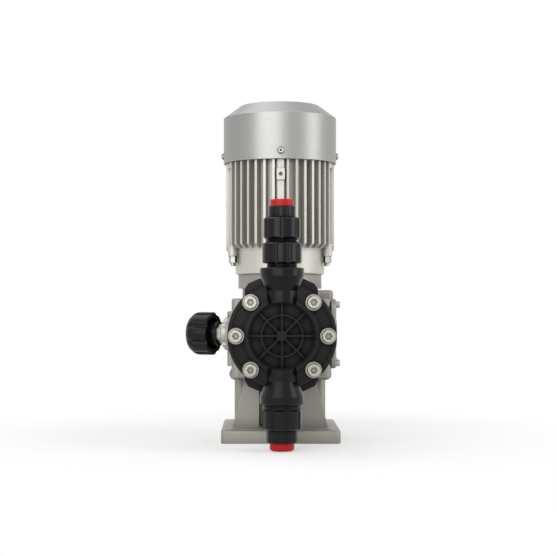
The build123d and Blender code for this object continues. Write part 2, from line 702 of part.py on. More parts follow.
def make_return_spring():
    low = CONE_FRONT + SPRING_WIRE + SLIDE_GAP
    high = PARTITION_BACK - SPRING_WIRE - SLIDE_GAP
    path = Helix(pitch=(high - low) / SPRING_TURNS, height=high - low, radius=SPRING_RADIUS)
    section = Plane(origin=path @ 0, z_dir=path % 0) * Circle(SPRING_WIRE)
    return FRONT * Pos(0, 0, low) * sweep(section, path=path, is_frenet=True)


def make_pushrod_bush():
    return FRONT * disc(BUSH_RADIUS, PARTITION_BACK, PARTITION_FRONT, ROD_RADIUS + RUN_GAP)


def make_rod_seal():
    return FRONT * disc(
        BUSH_RADIUS + 2, PARTITION_FRONT, PARTITION_FRONT + 1.4, ROD_RADIUS + RUN_GAP
    )


def make_diaphragm_insert():
    face = BACK_PLATE_FACE - SLIDE_GAP
    insert = turned([
        (0, INSERT_BACK - 13), (STUD_RADIUS, INSERT_BACK - 13), (STUD_RADIUS, INSERT_BACK),
        (12, INSERT_BACK), (16, face - 1.2), (16, face), (0, face),
    ])
    return FRONT * insert


def make_diaphragm():
    back, face = BACK_PLATE_FACE, BACK_PLATE_FACE + DIAPHRAGM_THICK
    roll = 1.6
    return FRONT * turned([
        (0, back), (19, back), (22, back + roll), (26, back + roll), (29, back),
        (DIAPHRAGM_RADIUS, back), (DIAPHRAGM_RADIUS, face), (29.6, face),
        (26.6, face + roll), (21.4, face + roll), (18.4, face), (0, face),
    ])


# ---------------------------------------------------------------- pump head

CHORD_ANGLES = (
    HEAD_CHORD_ANGLE, 180 - HEAD_CHORD_ANGLE, 180 + HEAD_CHORD_ANGLE, -HEAD_CHORD_ANGLE
)
PLATE_HALF_WIDTH = 37.5
PLATE_HALF_HEIGHT = 57.7
FLAT_WIDTH = 15.3
FLAT_PROUD = 0.9


def make_back_plate():
    shoulder, top_half = 46.5, 22.6
    lobes = make_face(Polyline(
        (-PLATE_HALF_WIDTH, -shoulder), (-34, -52.5), (-top_half, -PLATE_HALF_HEIGHT),
        (top_half, -PLATE_HALF_HEIGHT), (34, -52.5), (PLATE_HALF_WIDTH, -shoulder),
        (PLATE_HALF_WIDTH, shoulder), (34, 52.5), (top_half, PLATE_HALF_HEIGHT),
        (-top_half, PLATE_HALF_HEIGHT), (-34, 52.5), (-PLATE_HALF_WIDTH, shoulder), close=True,
    ))
    thick = BACK_PLATE_FACE - FRONT_FLANGE_FACE
    plate = Pos(0, 0, FRONT_FLANGE_FACE) * extrude(lobes, thick)
    plate += disc(HEAD_RADIUS - 1.2, FRONT_FLANGE_FACE, BACK_PLATE_FACE)
    plate -= disc(CHAMBER_RADIUS, FRONT_FLANGE_FACE, BACK_PLATE_FACE)
    hole = disc(HEAD_SCREW_RADIUS + RUN_GAP, FRONT_FLANGE_FACE, BACK_PLATE_FACE)
    plate -= [polar(BOLT_CIRCLE / 2, angle) * hole for angle in BOLT_ANGLES]
    return FRONT * plate


def valve_boss(sign):
    """One vertical boss of the head in the head's local frame: sign is 1 for the upper."""
    column = turned([
        (0, 20), (VALVE_NECK_RADIUS, 20), (VALVE_NECK_RADIUS, 45), (VALVE_BOSS_RADIUS, 59.5),
        (VALVE_BOSS_RADIUS, BOSS_HALF_HEIGHT - 1), (VALVE_BOSS_RADIUS - 1, BOSS_HALF_HEIGHT),
        (0, BOSS_HALF_HEIGHT),
    ])
    half = FLAT_WIDTH / 2
    pad_top = VALVE_BOSS_RADIUS + FLAT_PROUD
    pad = block((-half, half), (-pad_top, -10), (52.5, BOSS_HALF_HEIGHT))
    pad += Pos(0, 0, 52.5) * Rot(90, 0, 0) * disc(half, 10, pad_top)
    return Pos(0, 0, VALVE_REACH) * Rot(-90 * sign, 0, 0) * mirrored_pad(column + pad, sign)


def mirrored_pad(boss, sign):
    """Turns the flat of either boss towards the motor."""
    return boss if sign < 0 else Rot(0, 0, 180) * boss


def head_ribs():
    """Spokes, ring and hub that stiffen the floor of the front recess."""
    low, high = RECESS_FLOOR - 1, RECESS_FLOOR + RIB_HEIGHT
    spoke = block((0, RECESS_RADIUS + 1), (-RIB_WIDTH / 2, RIB_WIDTH / 2), (low, high))
    ribs = around(spoke, [360 / RIB_COUNT * n for n in range(RIB_COUNT)])
    ribs.append(disc(
        RING_RIB_RADIUS + RIB_WIDTH / 2, low, high, RING_RIB_RADIUS - RIB_WIDTH / 2
    ))
    ribs.append(disc(HUB_RIB_RADIUS, low, high + 1))
    return ribs


def port_bore(sign):
    """The slanting way from a valve pocket down to the diaphragm chamber."""
    start = Vector(0, sign * 46.5, VALVE_REACH - 3)
    end = Vector(0, sign * 24, HEAD_BACK + 4)
    way = end - start
    return Plane(origin=start, z_dir=way).location * Cylinder(4.0, way.length, align=BASE)


def rim_pockets():
    """Shallow pockets in the rim's face, two a side, between the screws' bosses."""
    low = HEAD_FACE - RIM_POCKET_DEPTH
    ring = disc(RIM_POCKET_RADIUS, low, HEAD_FACE, RIM_RADIUS + 1.4)
    ring -= block((-RIM_POCKET_RADIUS, RIM_POCKET_RADIUS), (29, 60), (low, HEAD_FACE))
    ring -= block((-RIM_POCKET_RADIUS, RIM_POCKET_RADIUS), (-60, -29), (low, HEAD_FACE))
    boss = disc(SCREW_BOSS_RADIUS, low, HEAD_FACE)
    return ring - [polar(BOLT_CIRCLE / 2, angle) * boss for angle in BOLT_ANGLES]


def make_pump_head():
    body = disc(HEAD_RADIUS, HEAD_BACK, HEAD_FACE)
    cut = block((HEAD_CHORD, HEAD_CHORD + 20), (-40, 40), (HEAD_BACK, HEAD_FACE))
    body -= around(cut, CHORD_ANGLES)
    body = chamfer(body.faces().sort_by(Axis.Z)[-1].edges(), 1.5)
    body += disc(RIM_RADIUS, HEAD_FACE - 1, HEAD_FACE + RIM_HEIGHT)
    body += valve_boss(1)
    body += valve_boss(-1)
    front = VALVE_REACH + VALVE_BOSS_RADIUS + 5
    body -= disc(RECESS_RADIUS, RECESS_LEDGE_FLOOR, front)
    body -= disc(RECESS_RADIUS - RECESS_LEDGE, RECESS_FLOOR, front)
    body -= rim_pockets()
    body += head_ribs()
    body -= disc(DIAPHRAGM_RADIUS + SLIDE_GAP, HEAD_BACK, HEAD_BACK + DIAPHRAGM_THICK)
    chamber_back = HEAD_BACK + DIAPHRAGM_THICK
    body -= turned([
        (0, chamber_back), (CHAMBER_RADIUS, chamber_back),
        (CHAMBER_RADIUS - 10, chamber_back + CHAMBER_DEPTH), (0, chamber_back + CHAMBER_DEPTH),
    ])
    pocket = disc(POCKET_RADIUS, BOSS_HALF_HEIGHT - POCKET_DEPTH, BOSS_HALF_HEIGHT)
    for sign in (1, -1):
        body -= Pos(0, 0, VALVE_REACH) * Rot(-90 * sign, 0, 0) * pocket
        body -= port_bore(sign)
    hole = disc(HEAD_SCREW_RADIUS + RUN_GAP, HEAD_BACK, HEAD_FACE + RIM_HEIGHT)
    body -= [polar(BOLT_CIRCLE / 2, angle) * hole for angle in BOLT_ANGLES]
    return FRONT * body


def make_head_screws():
    top = HEAD_FACE + WASHER_THICK
    screw = socket_screw(
        HEAD_SCREW_RADIUS, top - FRONT_FLANGE_BACK, HEAD_SCREW_CAP, HEAD_SCREW_CAP_HEIGHT,
        HEAD_SCREW_KEY,
    )
    return group([
        FRONT * polar(BOLT_CIRCLE / 2, angle) * Pos(0, 0, top) * screw for angle in BOLT_ANGLES
    ])


def make_head_washers():
    washer = disc(
        WASHER_RADIUS, HEAD_FACE, HEAD_FACE + WASHER_THICK, HEAD_SCREW_RADIUS + RUN_GAP
    )
    return group([FRONT * polar(BOLT_CIRCLE / 2, angle) * washer for angle in BOLT_ANGLES])


# ---------------------------------------------------------------- suction valve

SUCTION_RING_LOW = VALVE_BOTTOM - SUCTION_RING
SUCTION_NUT_LOW = SUCTION_RING_LOW - SUCTION_NUT_LENGTH
SUCTION_CONNECTOR_LOW = SUCTION_NUT_LOW - SUCTION_CONNECTOR
SUCTION_PLUG_LOW = SUCTION_CONNECTOR_LOW - SUCTION_PLUG
SUCTION_SPIGOT_LOW = SUCTION_RING_LOW - 11.5
SUCTION_SEAT_TOP = VALVE_BOTTOM + 7.0
SPIGOT_RADIUS = 15.5
NUT_LIP = 4.2
FLANGE_THICK = 4.0
CONNECTOR_NECK = 12.4


def valve_bore(seat_top, low, high):
    """The stepped bore of a valve body: the seat's pocket, then the ball's chamber."""
    bore = disc(SEAT_RADIUS + RUN_GAP, low, seat_top)
    return bore + disc(VALVE_BORE, seat_top - 0.01, high)


def make_suction_body():
    top = VALVE_BOTTOM + POCKET_DEPTH - 1
    body = disc(POCKET_RADIUS - RUN_GAP, VALVE_BOTTOM - 0.5, top)
    body += disc(VALVE_BOSS_RADIUS - 3, SUCTION_RING_LOW, VALVE_BOTTOM)
    body += disc(SPIGOT_RADIUS, SUCTION_SPIGOT_LOW, SUCTION_RING_LOW)
    body -= valve_bore(SUCTION_SEAT_TOP, SUCTION_SPIGOT_LOW, top)
    groove_low = VALVE_BOTTOM + 11
    body -= disc(POCKET_RADIUS, groove_low, groove_low + 2.4, POCKET_RADIUS - 2.2)
    return VALVES * body


def valve_seat(top):
    """A seat ring with a cone that the ball rests in."""
    return turned([
        (SEAT_HOLE, top - SEAT_HEIGHT), (SEAT_RADIUS, top - SEAT_HEIGHT), (SEAT_RADIUS, top),
        (SEAT_LIP, top), (SEAT_HOLE, top - 0.5),
    ])


def valve_guide(low):
    """The cage above a ball: a ring with a crossed bar that stops the ball's lift."""
    radius, height = VALVE_BORE - RUN_GAP, 2.4
    ring = disc(radius, low, low + height, radius - 1.4)
    bar = block((-radius + 0.7, radius - 0.7), (-0.8, 0.8), (low, low + height))
    return ring + bar + Rot(0, 0, 90) * bar


def ball_centre(seat_top):
    return seat_top + sqrt(BALL_RADIUS ** 2 - SEAT_LIP ** 2) + RUN_GAP


def make_suction_nut():
    nut = lobed(SUCTION_NUT_RADIUS, SUCTION_NUT_LOW, SUCTION_RING_LOW, 8, 3.0, 1.4, 14)
    nut -= disc(SPIGOT_RADIUS + SLIDE_GAP, SUCTION_NUT_LOW + NUT_LIP, SUCTION_RING_LOW)
    nut -= disc(CONNECTOR_NECK + SLIDE_GAP, SUCTION_NUT_LOW, SUCTION_RING_LOW)
    return VALVES * nut


def connector(body_low, body_high, flange_low, radius, flange_radius, inwards):
    """An end connector: a fluted end outside the nut and a flange held inside it."""
    end = lobed(radius, body_low, body_high, 10, 1.6, 0.8)
    neck = disc(CONNECTOR_NECK, min(body_low, flange_low), max(body_high, flange_low))
    flange = disc(flange_radius, flange_low, flange_low + inwards * FLANGE_THICK) if inwards > 0 \
        else disc(flange_radius, flange_low - FLANGE_THICK, flange_low)
    return end + neck + flange


def make_suction_connector():
    flange_low = SUCTION_NUT_LOW + NUT_LIP
    body = connector(
        SUCTION_CONNECTOR_LOW, SUCTION_NUT_LOW, flange_low, 15.4, SPIGOT_RADIUS - 0.3, 1
    )
    bore = disc(PORT_RADIUS, SUCTION_CONNECTOR_LOW, flange_low + FLANGE_THICK)
    return VALVES * (body - bore)


def make_suction_plug():
    low, high = SUCTION_PLUG_LOW, SUCTION_CONNECTOR_LOW
    plug = turned([
        (0, low), (10.8, low), (12.3, low + 1.5), (12.3, high), (PORT_RADIUS - RUN_GAP, high),
        (PORT_RADIUS - RUN_GAP, high + 9), (PORT_RADIUS - 1.5, high + 10),
        (PORT_RADIUS - 1.5, low + 2), (0, low + 2),
    ])
    return VALVES * plug


# ---------------------------------------------------------------- discharge valve

LOWER_NUT_LOW = VALVE_TOP + DISCHARGE_NECK
LOWER_NUT_TOP = LOWER_NUT_LOW + LOWER_NUT_LENGTH
UPPER_NUT_LOW = LOWER_NUT_TOP + NUT_GAP
UPPER_NUT_TOP = UPPER_NUT_LOW + UPPER_NUT_LENGTH
DISCHARGE_CONNECTOR_TOP = UPPER_NUT_TOP + DISCHARGE_CONNECTOR
DISCHARGE_PLUG_TOP = DISCHARGE_CONNECTOR_TOP + DISCHARGE_PLUG
DISCHARGE_SPIGOT_TOP = LOWER_NUT_TOP - NUT_LIP - FLANGE_THICK - SLIDE_GAP
DISCHARGE_SEAT_TOP = DISCHARGE_SPIGOT_TOP - 8.0
DISCHARGE_NECK_RADIUS = 14.85
CAGE_NECK = 14.0
CAGE_TOP = UPPER_NUT_TOP - NUT_LIP - FLANGE_THICK - SLIDE_GAP


def make_discharge_body():
    low = VALVE_TOP - POCKET_DEPTH + 1
    body = disc(POCKET_RADIUS - RUN_GAP, low, VALVE_TOP + 0.5)
    body += disc(DISCHARGE_NECK_RADIUS, VALVE_TOP, DISCHARGE_SPIGOT_TOP)
    body -= disc(PORT_RADIUS - 1, low, DISCHARGE_SEAT_TOP - SEAT_HEIGHT)
    body -= disc(SEAT_RADIUS + RUN_GAP, DISCHARGE_SEAT_TOP - SEAT_HEIGHT, DISCHARGE_SPIGOT_TOP)
    groove_low = VALVE_TOP - 13.4
    body -= disc(POCKET_RADIUS, groove_low, groove_low + 2.4, POCKET_RADIUS - 2.2)
    return VALVES * body


def make_discharge_cage():
    flange_top = DISCHARGE_SPIGOT_TOP + SLIDE_GAP + FLANGE_THICK
    cage = disc(SPIGOT_RADIUS, DISCHARGE_SPIGOT_TOP + SLIDE_GAP, flange_top)
    cage += disc(CAGE_NECK, flange_top - 1, CAGE_TOP)
    cage += disc(SEAT_RADIUS - SLIDE_GAP, DISCHARGE_SEAT_TOP, DISCHARGE_SPIGOT_TOP + 1)
    stop = ball_centre(DISCHARGE_SEAT_TOP) + BALL_RADIUS + BALL_LIFT + 0.15
    cage -= disc(VALVE_BORE, DISCHARGE_SEAT_TOP, stop + 2.4)
    cage -= disc(PORT_RADIUS - 1, stop, CAGE_TOP)
    return VALVES * cage


def make_valve_seats():
    return group([VALVES * valve_seat(SUCTION_SEAT_TOP), VALVES * valve_seat(DISCHARGE_SEAT_TOP)])


def make_valve_guides():
    stops = [
        ball_centre(top) + BALL_RADIUS + BALL_LIFT + 0.15
        for top in (SUCTION_SEAT_TOP, DISCHARGE_SEAT_TOP)
    ]
    return group([VALVES * valve_guide(low) for low in stops])


def make_valve_orings():
    ring = Torus(POCKET_RADIUS - 1.1, 1.0)
    lows = (VALVE_BOTTOM + 12.2, VALVE_TOP - 12.2)
    return group([VALVES * Pos(0, 0, low) * ring for low in lows])


def make_suction_ball():
    return VALVES * Pos(0, 0, ball_centre(SUCTION_SEAT_TOP)) * Sphere(BALL_RADIUS)


def make_discharge_ball():
    return VALVES * Pos(0, 0, ball_centre(DISCHARGE_SEAT_TOP)) * Sphere(BALL_RADIUS)


def make_discharge_lower_nut():
    nut = lobed(LOWER_NUT_RADIUS, LOWER_NUT_LOW, LOWER_NUT_TOP, 10, 2.6, 1.2)
    nut -= disc(DISCHARGE_NECK_RADIUS + SLIDE_GAP, LOWER_NUT_LOW, DISCHARGE_SPIGOT_TOP)
    nut -= disc(SPIGOT_RADIUS + SLIDE_GAP, DISCHARGE_SPIGOT_TOP - 1, LOWER_NUT_TOP - NUT_LIP)
    nut -= disc(CAGE_NECK + SLIDE_GAP, LOWER_NUT_LOW, LOWER_NUT_TOP)
    return VALVES * nut


def make_discharge_upper_nut():
    nut = lobed(UPPER_NUT_RADIUS, UPPER_NUT_LOW, UPPER_NUT_TOP, 6, 3.2, 1.4, 28)
    nut -= disc(CAGE_NECK + SLIDE_GAP, UPPER_NUT_LOW, UPPER_NUT_TOP - NUT_LIP)
    nut -= disc(CONNECTOR_NECK + SLIDE_GAP, UPPER_NUT_LOW, UPPER_NUT_TOP)
    return VALVES * nut


def make_discharge_connector():
    flange_high = UPPER_NUT_TOP - NUT_LIP
    body = connector(
        UPPER_NUT_TOP, DISCHARGE_CONNECTOR_TOP, flange_high, 13.4, CAGE_NECK - 0.2, -1
    )
    bore = disc(PORT_RADIUS, flange_high - FLANGE_THICK, DISCHARGE_CONNECTOR_TOP)
    return VALVES * (body - bore)


def make_discharge_plug():
    low, high = DISCHARGE_CONNECTOR_TOP, DISCHARGE_PLUG_TOP
    plug = turned([
        (0, high), (10.9, high), (11.8, high - 1), (11.8, low), (PORT_RADIUS - RUN_GAP, low),
        (PORT_RADIUS - RUN_GAP, low - 9), (PORT_RADIUS - 1.5, low - 10),
        (PORT_RADIUS - 1.5, high - 2), (0, high - 2),
    ])
    return VALVES * plug


# ---------------------------------------------------------------- stroke adjuster

PLUNGER_END = 34.0
SPINDLE_END = 88.0
KNOB_FLOOR = SLEEVE_END + 2.5
KNOB_BORE = 17.0
CAP_RADIUS = 8.0


def make_stop_plunger():
    return ADJUSTER * disc(PLUNGER_RADIUS, SLIDE_GAP, PLUNGER_END)


def make_adjuster_hub():
    hub = disc(HUB_SPIGOT_RADIUS, HUB_SPIGOT_START + 0.5, BOSS_END)
    hub += lobed(HUB_FLANGE_RADIUS, BOSS_END, HUB_FLANGE_END, 6, 4.0, 1.0)
    nut = Pos(0, 0, HUB_FLANGE_END) * extrude(
        RegularPolygon(HUB_NUT_RADIUS, 6), HUB_NUT_END - HUB_FLANGE_END
    )
    hub += nut & disc(HUB_NUT_RADIUS - 0.6, HUB_FLANGE_END, HUB_NUT_END)
    hub += disc(8.0, HUB_NUT_END - 1, SLEEVE_END)
    return ADJUSTER * (hub - disc(SPINDLE_RADIUS + RUN_GAP, HUB_SPIGOT_START, SLEEVE_END))


def make_scale_sleeve():
    sleeve = disc(SLEEVE_RADIUS, HUB_NUT_END + SLIDE_GAP, SLEEVE_END, 8.0 + RUN_GAP)
    for low in (HUB_NUT_END + 3, HUB_NUT_END + 7):
        sleeve -= disc(SLEEVE_RADIUS + 1, low, low + 1.2, SLEEVE_RADIUS - 0.8)
    return ADJUSTER * sleeve


def make_adjuster_spindle():
    return ADJUSTER * disc(SPINDLE_RADIUS, PLUNGER_END + SLIDE_GAP, SPINDLE_END)


def make_knob():
    crown = 7.0
    steps = 5
    profile = [(0, KNOB_START), (KNOB_RADIUS - 1.2, KNOB_START), (KNOB_RADIUS, KNOB_START + 1.2)]
    for n in range(steps + 1):
        angle = radians(90 * n / steps)
        profile.append((
            KNOB_RADIUS - crown + crown * cos(angle), KNOB_END - crown + crown * sin(angle)
        ))
    profile.append((0, KNOB_END))
    knob = turned(profile)
    flute = Pos(KNOB_RADIUS + 2.0, 0, 0) * disc(4.0, KNOB_START, KNOB_END)
    knob -= around(flute, [360 / KNOB_FLUTES * (n + 0.5) for n in range(KNOB_FLUTES)])
    knob -= disc(KNOB_BORE, KNOB_START, KNOB_FLOOR)
    knob -= disc(SPINDLE_RADIUS + RUN_GAP, KNOB_FLOOR - 1, SPINDLE_END)
    knob -= disc(CAP_RADIUS + RUN_GAP, KNOB_END - 1.5, KNOB_END)
    return ADJUSTER * knob


def make_knob_cap():
    return ADJUSTER * disc(CAP_RADIUS, KNOB_END - 1.5, KNOB_END + 0.4)


# ---------------------------------------------------------------- motor

ADAPTER_BORE = 42.0
ADAPTER_LIP = 6.0
ADAPTER_POCKET = CAP_M5 + 0.15         # sunk screw heads in the adapter
ADAPTER_POCKET_DEPTH = CAP_M5_HEIGHT + 0.5
ADAPTER_SCREW_BITE = 11.0
FLANGE_SCREW_BITE = 6.0
SPIGOT = 30.0
LUG_TOP = SHIELD_TOP + 7.0
LUG_BASE = SHIELD_TOP - 6.0
SHIELD_LUG = 5.4
UPPER_SHIELD_TOP = FRAME_TOP + 13.0


def tie_places():
    return [(x, y) for x in (-TIE_X, TIE_X) for y in (-TIE_Y, TIE_Y)]


def make_motor_adapter():
    lip_low = ADAPTER_TOP - ADAPTER_LIP
    ring = disc(ADAPTER_RADIUS, TOP_FLANGE_TOP, ADAPTER_TOP)
    ring = fillet(ring.edges().sort_by(Axis.Z)[0], 1.5)
    ring -= disc(ADAPTER_BORE, TOP_FLANGE_TOP, lip_low)
    ring -= disc(SPIGOT, lip_low - 1, ADAPTER_TOP)
    column = disc(5.6, TOP_FLANGE_TOP, lip_low + 1)
    columns = [polar(ADAPTER_SCREW_CIRCLE, angle) * column for angle in (45, 135, 225, 315)]
    ring += columns
    ring = ring & disc(ADAPTER_RADIUS, TOP_FLANGE_TOP, ADAPTER_TOP)
    for angle in (45, 135, 225, 315):
        place = polar(ADAPTER_SCREW_CIRCLE, angle)
        ring -= place * disc(SCREW_M5 + RUN_GAP, TOP_FLANGE_TOP, ADAPTER_TOP)
        ring -= place * disc(ADAPTER_POCKET, ADAPTER_TOP - ADAPTER_POCKET_DEPTH, ADAPTER_TOP)
    for angle in (0, 90, 180, 270):
        ring -= polar(FLANGE_SCREW_CIRCLE, angle) * disc(
            SCREW_M5 + RUN_GAP, lip_low - 1, ADAPTER_TOP
        )
    return ring


def make_adapter_screws():
    seat = ADAPTER_TOP - ADAPTER_POCKET_DEPTH
    head = (CAP_M5, CAP_M5_HEIGHT, KEY_M5)
    down = socket_screw(SCREW_M5, seat - TOP_FLANGE_TOP + ADAPTER_SCREW_BITE, *head)
    up = Rot(180, 0, 0) * socket_screw(SCREW_M5, ADAPTER_LIP + FLANGE_SCREW_BITE, *head)
    screws = [
        polar(ADAPTER_SCREW_CIRCLE, angle) * Pos(0, 0, seat) * down
        for angle in (45, 135, 225, 315)
    ]
    screws += [
        polar(FLANGE_SCREW_CIRCLE, angle) * Pos(0, 0, ADAPTER_TOP - ADAPTER_LIP) * up
        for angle in (0, 90, 180, 270)
    ]
    return group(screws)


def make_lower_end_shield():
    bearing_top = SHIELD_TOP + 11.5
    shield = disc(ADAPTER_RADIUS, ADAPTER_TOP, SHIELD_TOP)
    shield += disc(SPIGOT - RUN_GAP, ADAPTER_TOP - 3, ADAPTER_TOP)
    shield += disc(FRAME_BORE - RUN_GAP, SHIELD_TOP - 1, SHIELD_TOP + 5)
    shield += disc(BEARING_6202[1] + 4, SHIELD_TOP, bearing_top)
    for x, y in tie_places():
        reach = degrees(atan2(y, x))
        lug = Pos(x, y, 0) * disc(SHIELD_LUG, LUG_BASE, SHIELD_TOP)
        arm = Rot(0, 0, reach) * block(
            (ADAPTER_RADIUS - 4, hypot(x, y)), (-3.5, 3.5), (ADAPTER_TOP, SHIELD_TOP)
        )
        shield += lug - disc(ADAPTER_RADIUS + RUN_GAP, LUG_BASE, ADAPTER_TOP) + arm
    shield -= disc(BEARING_6202[1], bearing_top - BEARING_6202[2], bearing_top)
    shield -= disc(MOTOR_SHAFT_RADIUS + 1.5, ADAPTER_TOP - 3, bearing_top)
    shield -= [
        Pos(x, y, 0) * disc(TIE_RADIUS + RUN_GAP, LUG_BASE, SHIELD_TOP) for x, y in tie_places()
    ]
    for angle in (0, 90, 180, 270):
        shield -= polar(FLANGE_SCREW_CIRCLE, angle) * disc(
            SCREW_M5 + RUN_GAP, ADAPTER_TOP, SHIELD_TOP + 5
        )
    return shield


def fin_angles():
    """Fin directions measured from the front: clear of the side pads and the box."""
    front = [FIN_FIRST + FIN_STEP * n for n in range(7)]
    back = [112 + FIN_STEP * n for n in range(4)]
    one_side = front + back
    return [-90 + angle for angle in one_side] + [-90 - angle for angle in one_side]


def make_motor_frame():
    body = disc(FRAME_RADIUS, SHIELD_TOP, FRAME_TOP)
    fin = Plane.XZ * make_face(Polyline(
        (FRAME_RADIUS - 2, SHIELD_TOP + 2), (FRAME_RADIUS + 4, SHIELD_TOP + 2),
        (FIN_RADIUS, SHIELD_TOP + 2 + FIN_MARGIN * 1.4),
        (FIN_RADIUS, FRAME_TOP - 1), (FRAME_RADIUS - 2, FRAME_TOP - 1), close=True,
    ))
    fin = extrude(fin, FIN_THICK / 2, both=True)
    body += around(fin, fin_angles())
    web = block((-WEB_WIDTH / 2, WEB_WIDTH / 2), (-FIN_RADIUS + 1.5, -40), (
        SHIELD_TOP + 2 + FIN_MARGIN, FRAME_TOP
    ))
    body += web
    body += block((-4.2, 4.2), (-FIN_RADIUS - 1, -40), (EARTH_PAD_LOW, EARTH_PAD_HIGH))
    for side in (-1, 1):
        x = sorted((side * 40, side * PAD_RADIUS))
        body += block(x, (-PAD_HALF, PAD_HALF), (SHIELD_TOP, FRAME_TOP))
        groove_x = sorted((side * (PAD_RADIUS - 7.6), side * (PAD_RADIUS - 5.6)))
        for edge in (-1, 1):
            groove_y = sorted((edge * (PAD_HALF - 3), edge * PAD_HALF))
            body -= block(groove_x, groove_y, (SHIELD_TOP + 6, FRAME_TOP))
    body += block((-BOX_HALF_WIDTH + 2, BOX_HALF_WIDTH - 2), (36, BOX_SEAT), (
        BOX_LOW + 2, BOX_HIGH - 2
    ))
    lug = disc(SHIELD_LUG, SHIELD_TOP, LUG_TOP) + disc(SHIELD_LUG, FRAME_TOP - 7, FRAME_TOP)
    body += [Pos(x, y, 0) * lug for x, y in tie_places()]
    body -= disc(FRAME_BORE, SHIELD_TOP, FRAME_TOP)
    hole = disc(TIE_RADIUS + RUN_GAP, SHIELD_TOP, FRAME_TOP)
    body -= [Pos(x, y, 0) * hole for x, y in tie_places()]
    earth = Rot(90, 0, 0) * disc(2.1, FIN_RADIUS - 6, FIN_RADIUS + 2)
    body -= Pos(0, 0, (EARTH_PAD_LOW + EARTH_PAD_HIGH) / 2) * earth
    entry = Rot(-90, 0, 0) * disc(9.0, 36, BOX_SEAT)
    return body - Pos(0, 0, (BOX_LOW + BOX_HIGH) / 2) * entry


BOX_SEAT = 58.0


TIE_TAIL = 10.2             # bolt end below the lower lugs
TIE_NUT_RADIUS = 4.4
TIE_NUT_HEIGHT = 7.4
TIE_HEAD_RADIUS = 4.0
TIE_HEAD_HEIGHT = 3.0


def make_tie_bolts():
    """Four long bolts with their nuts under the lower end shield."""
    top = FRAME_TOP
    bolt = disc(TIE_RADIUS, LUG_BASE - TIE_TAIL, top)
    bolt += disc(TIE_HEAD_RADIUS, top, top + TIE_HEAD_HEIGHT)
    nut = Pos(0, 0, LUG_BASE - TIE_NUT_HEIGHT) * hex_nut(
        TIE_NUT_RADIUS, TIE_RADIUS + 0.02, TIE_NUT_HEIGHT
    )
    solids = []
    for x, y in tie_places():
        solids.append(Pos(x, y, 0) * bolt)
        solids.append(Pos(x, y, 0) * nut)
    return group(solids)


def make_upper_end_shield():
    bearing_low = FRAME_TOP - 4
    shield = disc(FRAME_RADIUS, FRAME_TOP, FRAME_TOP + 4)
    shield += disc(FRAME_BORE - RUN_GAP, FRAME_TOP - 4, FRAME_TOP)
    shield += disc(BEARING_6201[1] + 4, bearing_low, FRAME_TOP + 9)
    reach = COWL_RADIUS - COWL_WALL - RUN_GAP
    arm = block((FRAME_RADIUS - 6, reach), (-5.5, 5.5), (FRAME_TOP + 0.5, UPPER_SHIELD_TOP))
    post = block((reach - 12, reach + 2), (-5.5, 5.5), (FRAME_TOP + 0.5, UPPER_SHIELD_TOP))
    shield += around(arm & disc(reach, FRAME_TOP, UPPER_SHIELD_TOP), (0, 90, 180, 270))
    shield += around(post & disc(reach, FRAME_TOP, UPPER_SHIELD_TOP), (0, 90, 180, 270))
    shield -= disc(BEARING_6201[1], bearing_low, bearing_low + BEARING_6201[2])
    shield -= disc(BEARING_6201[0] + 1.5, bearing_low, FRAME_TOP + 9)
    hole = Pos(0, 0, COWL_SCREW_Z) * Rot(0, 90, 0) * disc(2.0 + RUN_GAP, reach - 9, reach + 1)
    shield -= around(hole, (0, 90, 180, 270))
    return shield


def make_motor_bearings():
    lower = Pos(0, 0, SHIELD_TOP + 0.5) * ball_bearing(*BEARING_6202)
    return group([lower, Pos(0, 0, FRAME_TOP - 4) * ball_bearing(*BEARING_6201)])


def make_stator_core():
    return disc(FRAME_BORE, STATOR_LOW, STATOR_HIGH, ROTOR_RADIUS + AIR_GAP)


def make_stator_windings():
    ends = ((STATOR_LOW - 10, STATOR_LOW), (STATOR_HIGH, STATOR_HIGH + 10))
    coil = [disc(FRAME_BORE - 4, low, high, ROTOR_RADIUS + 5) for low, high in ends]
    return group([fillet(ring.edges(), 2.0) for ring in coil])


def make_rotor_core():
    return disc(ROTOR_RADIUS, STATOR_LOW - 2, STATOR_HIGH + 2, MOTOR_SHAFT_RADIUS + 2)


def make_cooling_fan():
    bore = BEARING_6201[0] - RUN_GAP
    fan = disc(FAN_RADIUS, FAN_LOW, FAN_LOW + 2.0) + disc(bore + 5, FAN_LOW, FAN_HIGH - 4)
    blade = block((bore + 2, FAN_RADIUS), (-0.9, 0.9), (FAN_LOW, FAN_HIGH))
    fan += around(blade, [360 / FAN_BLADES * n for n in range(FAN_BLADES)])
    return fan - disc(bore, FAN_LOW, FAN_HIGH)


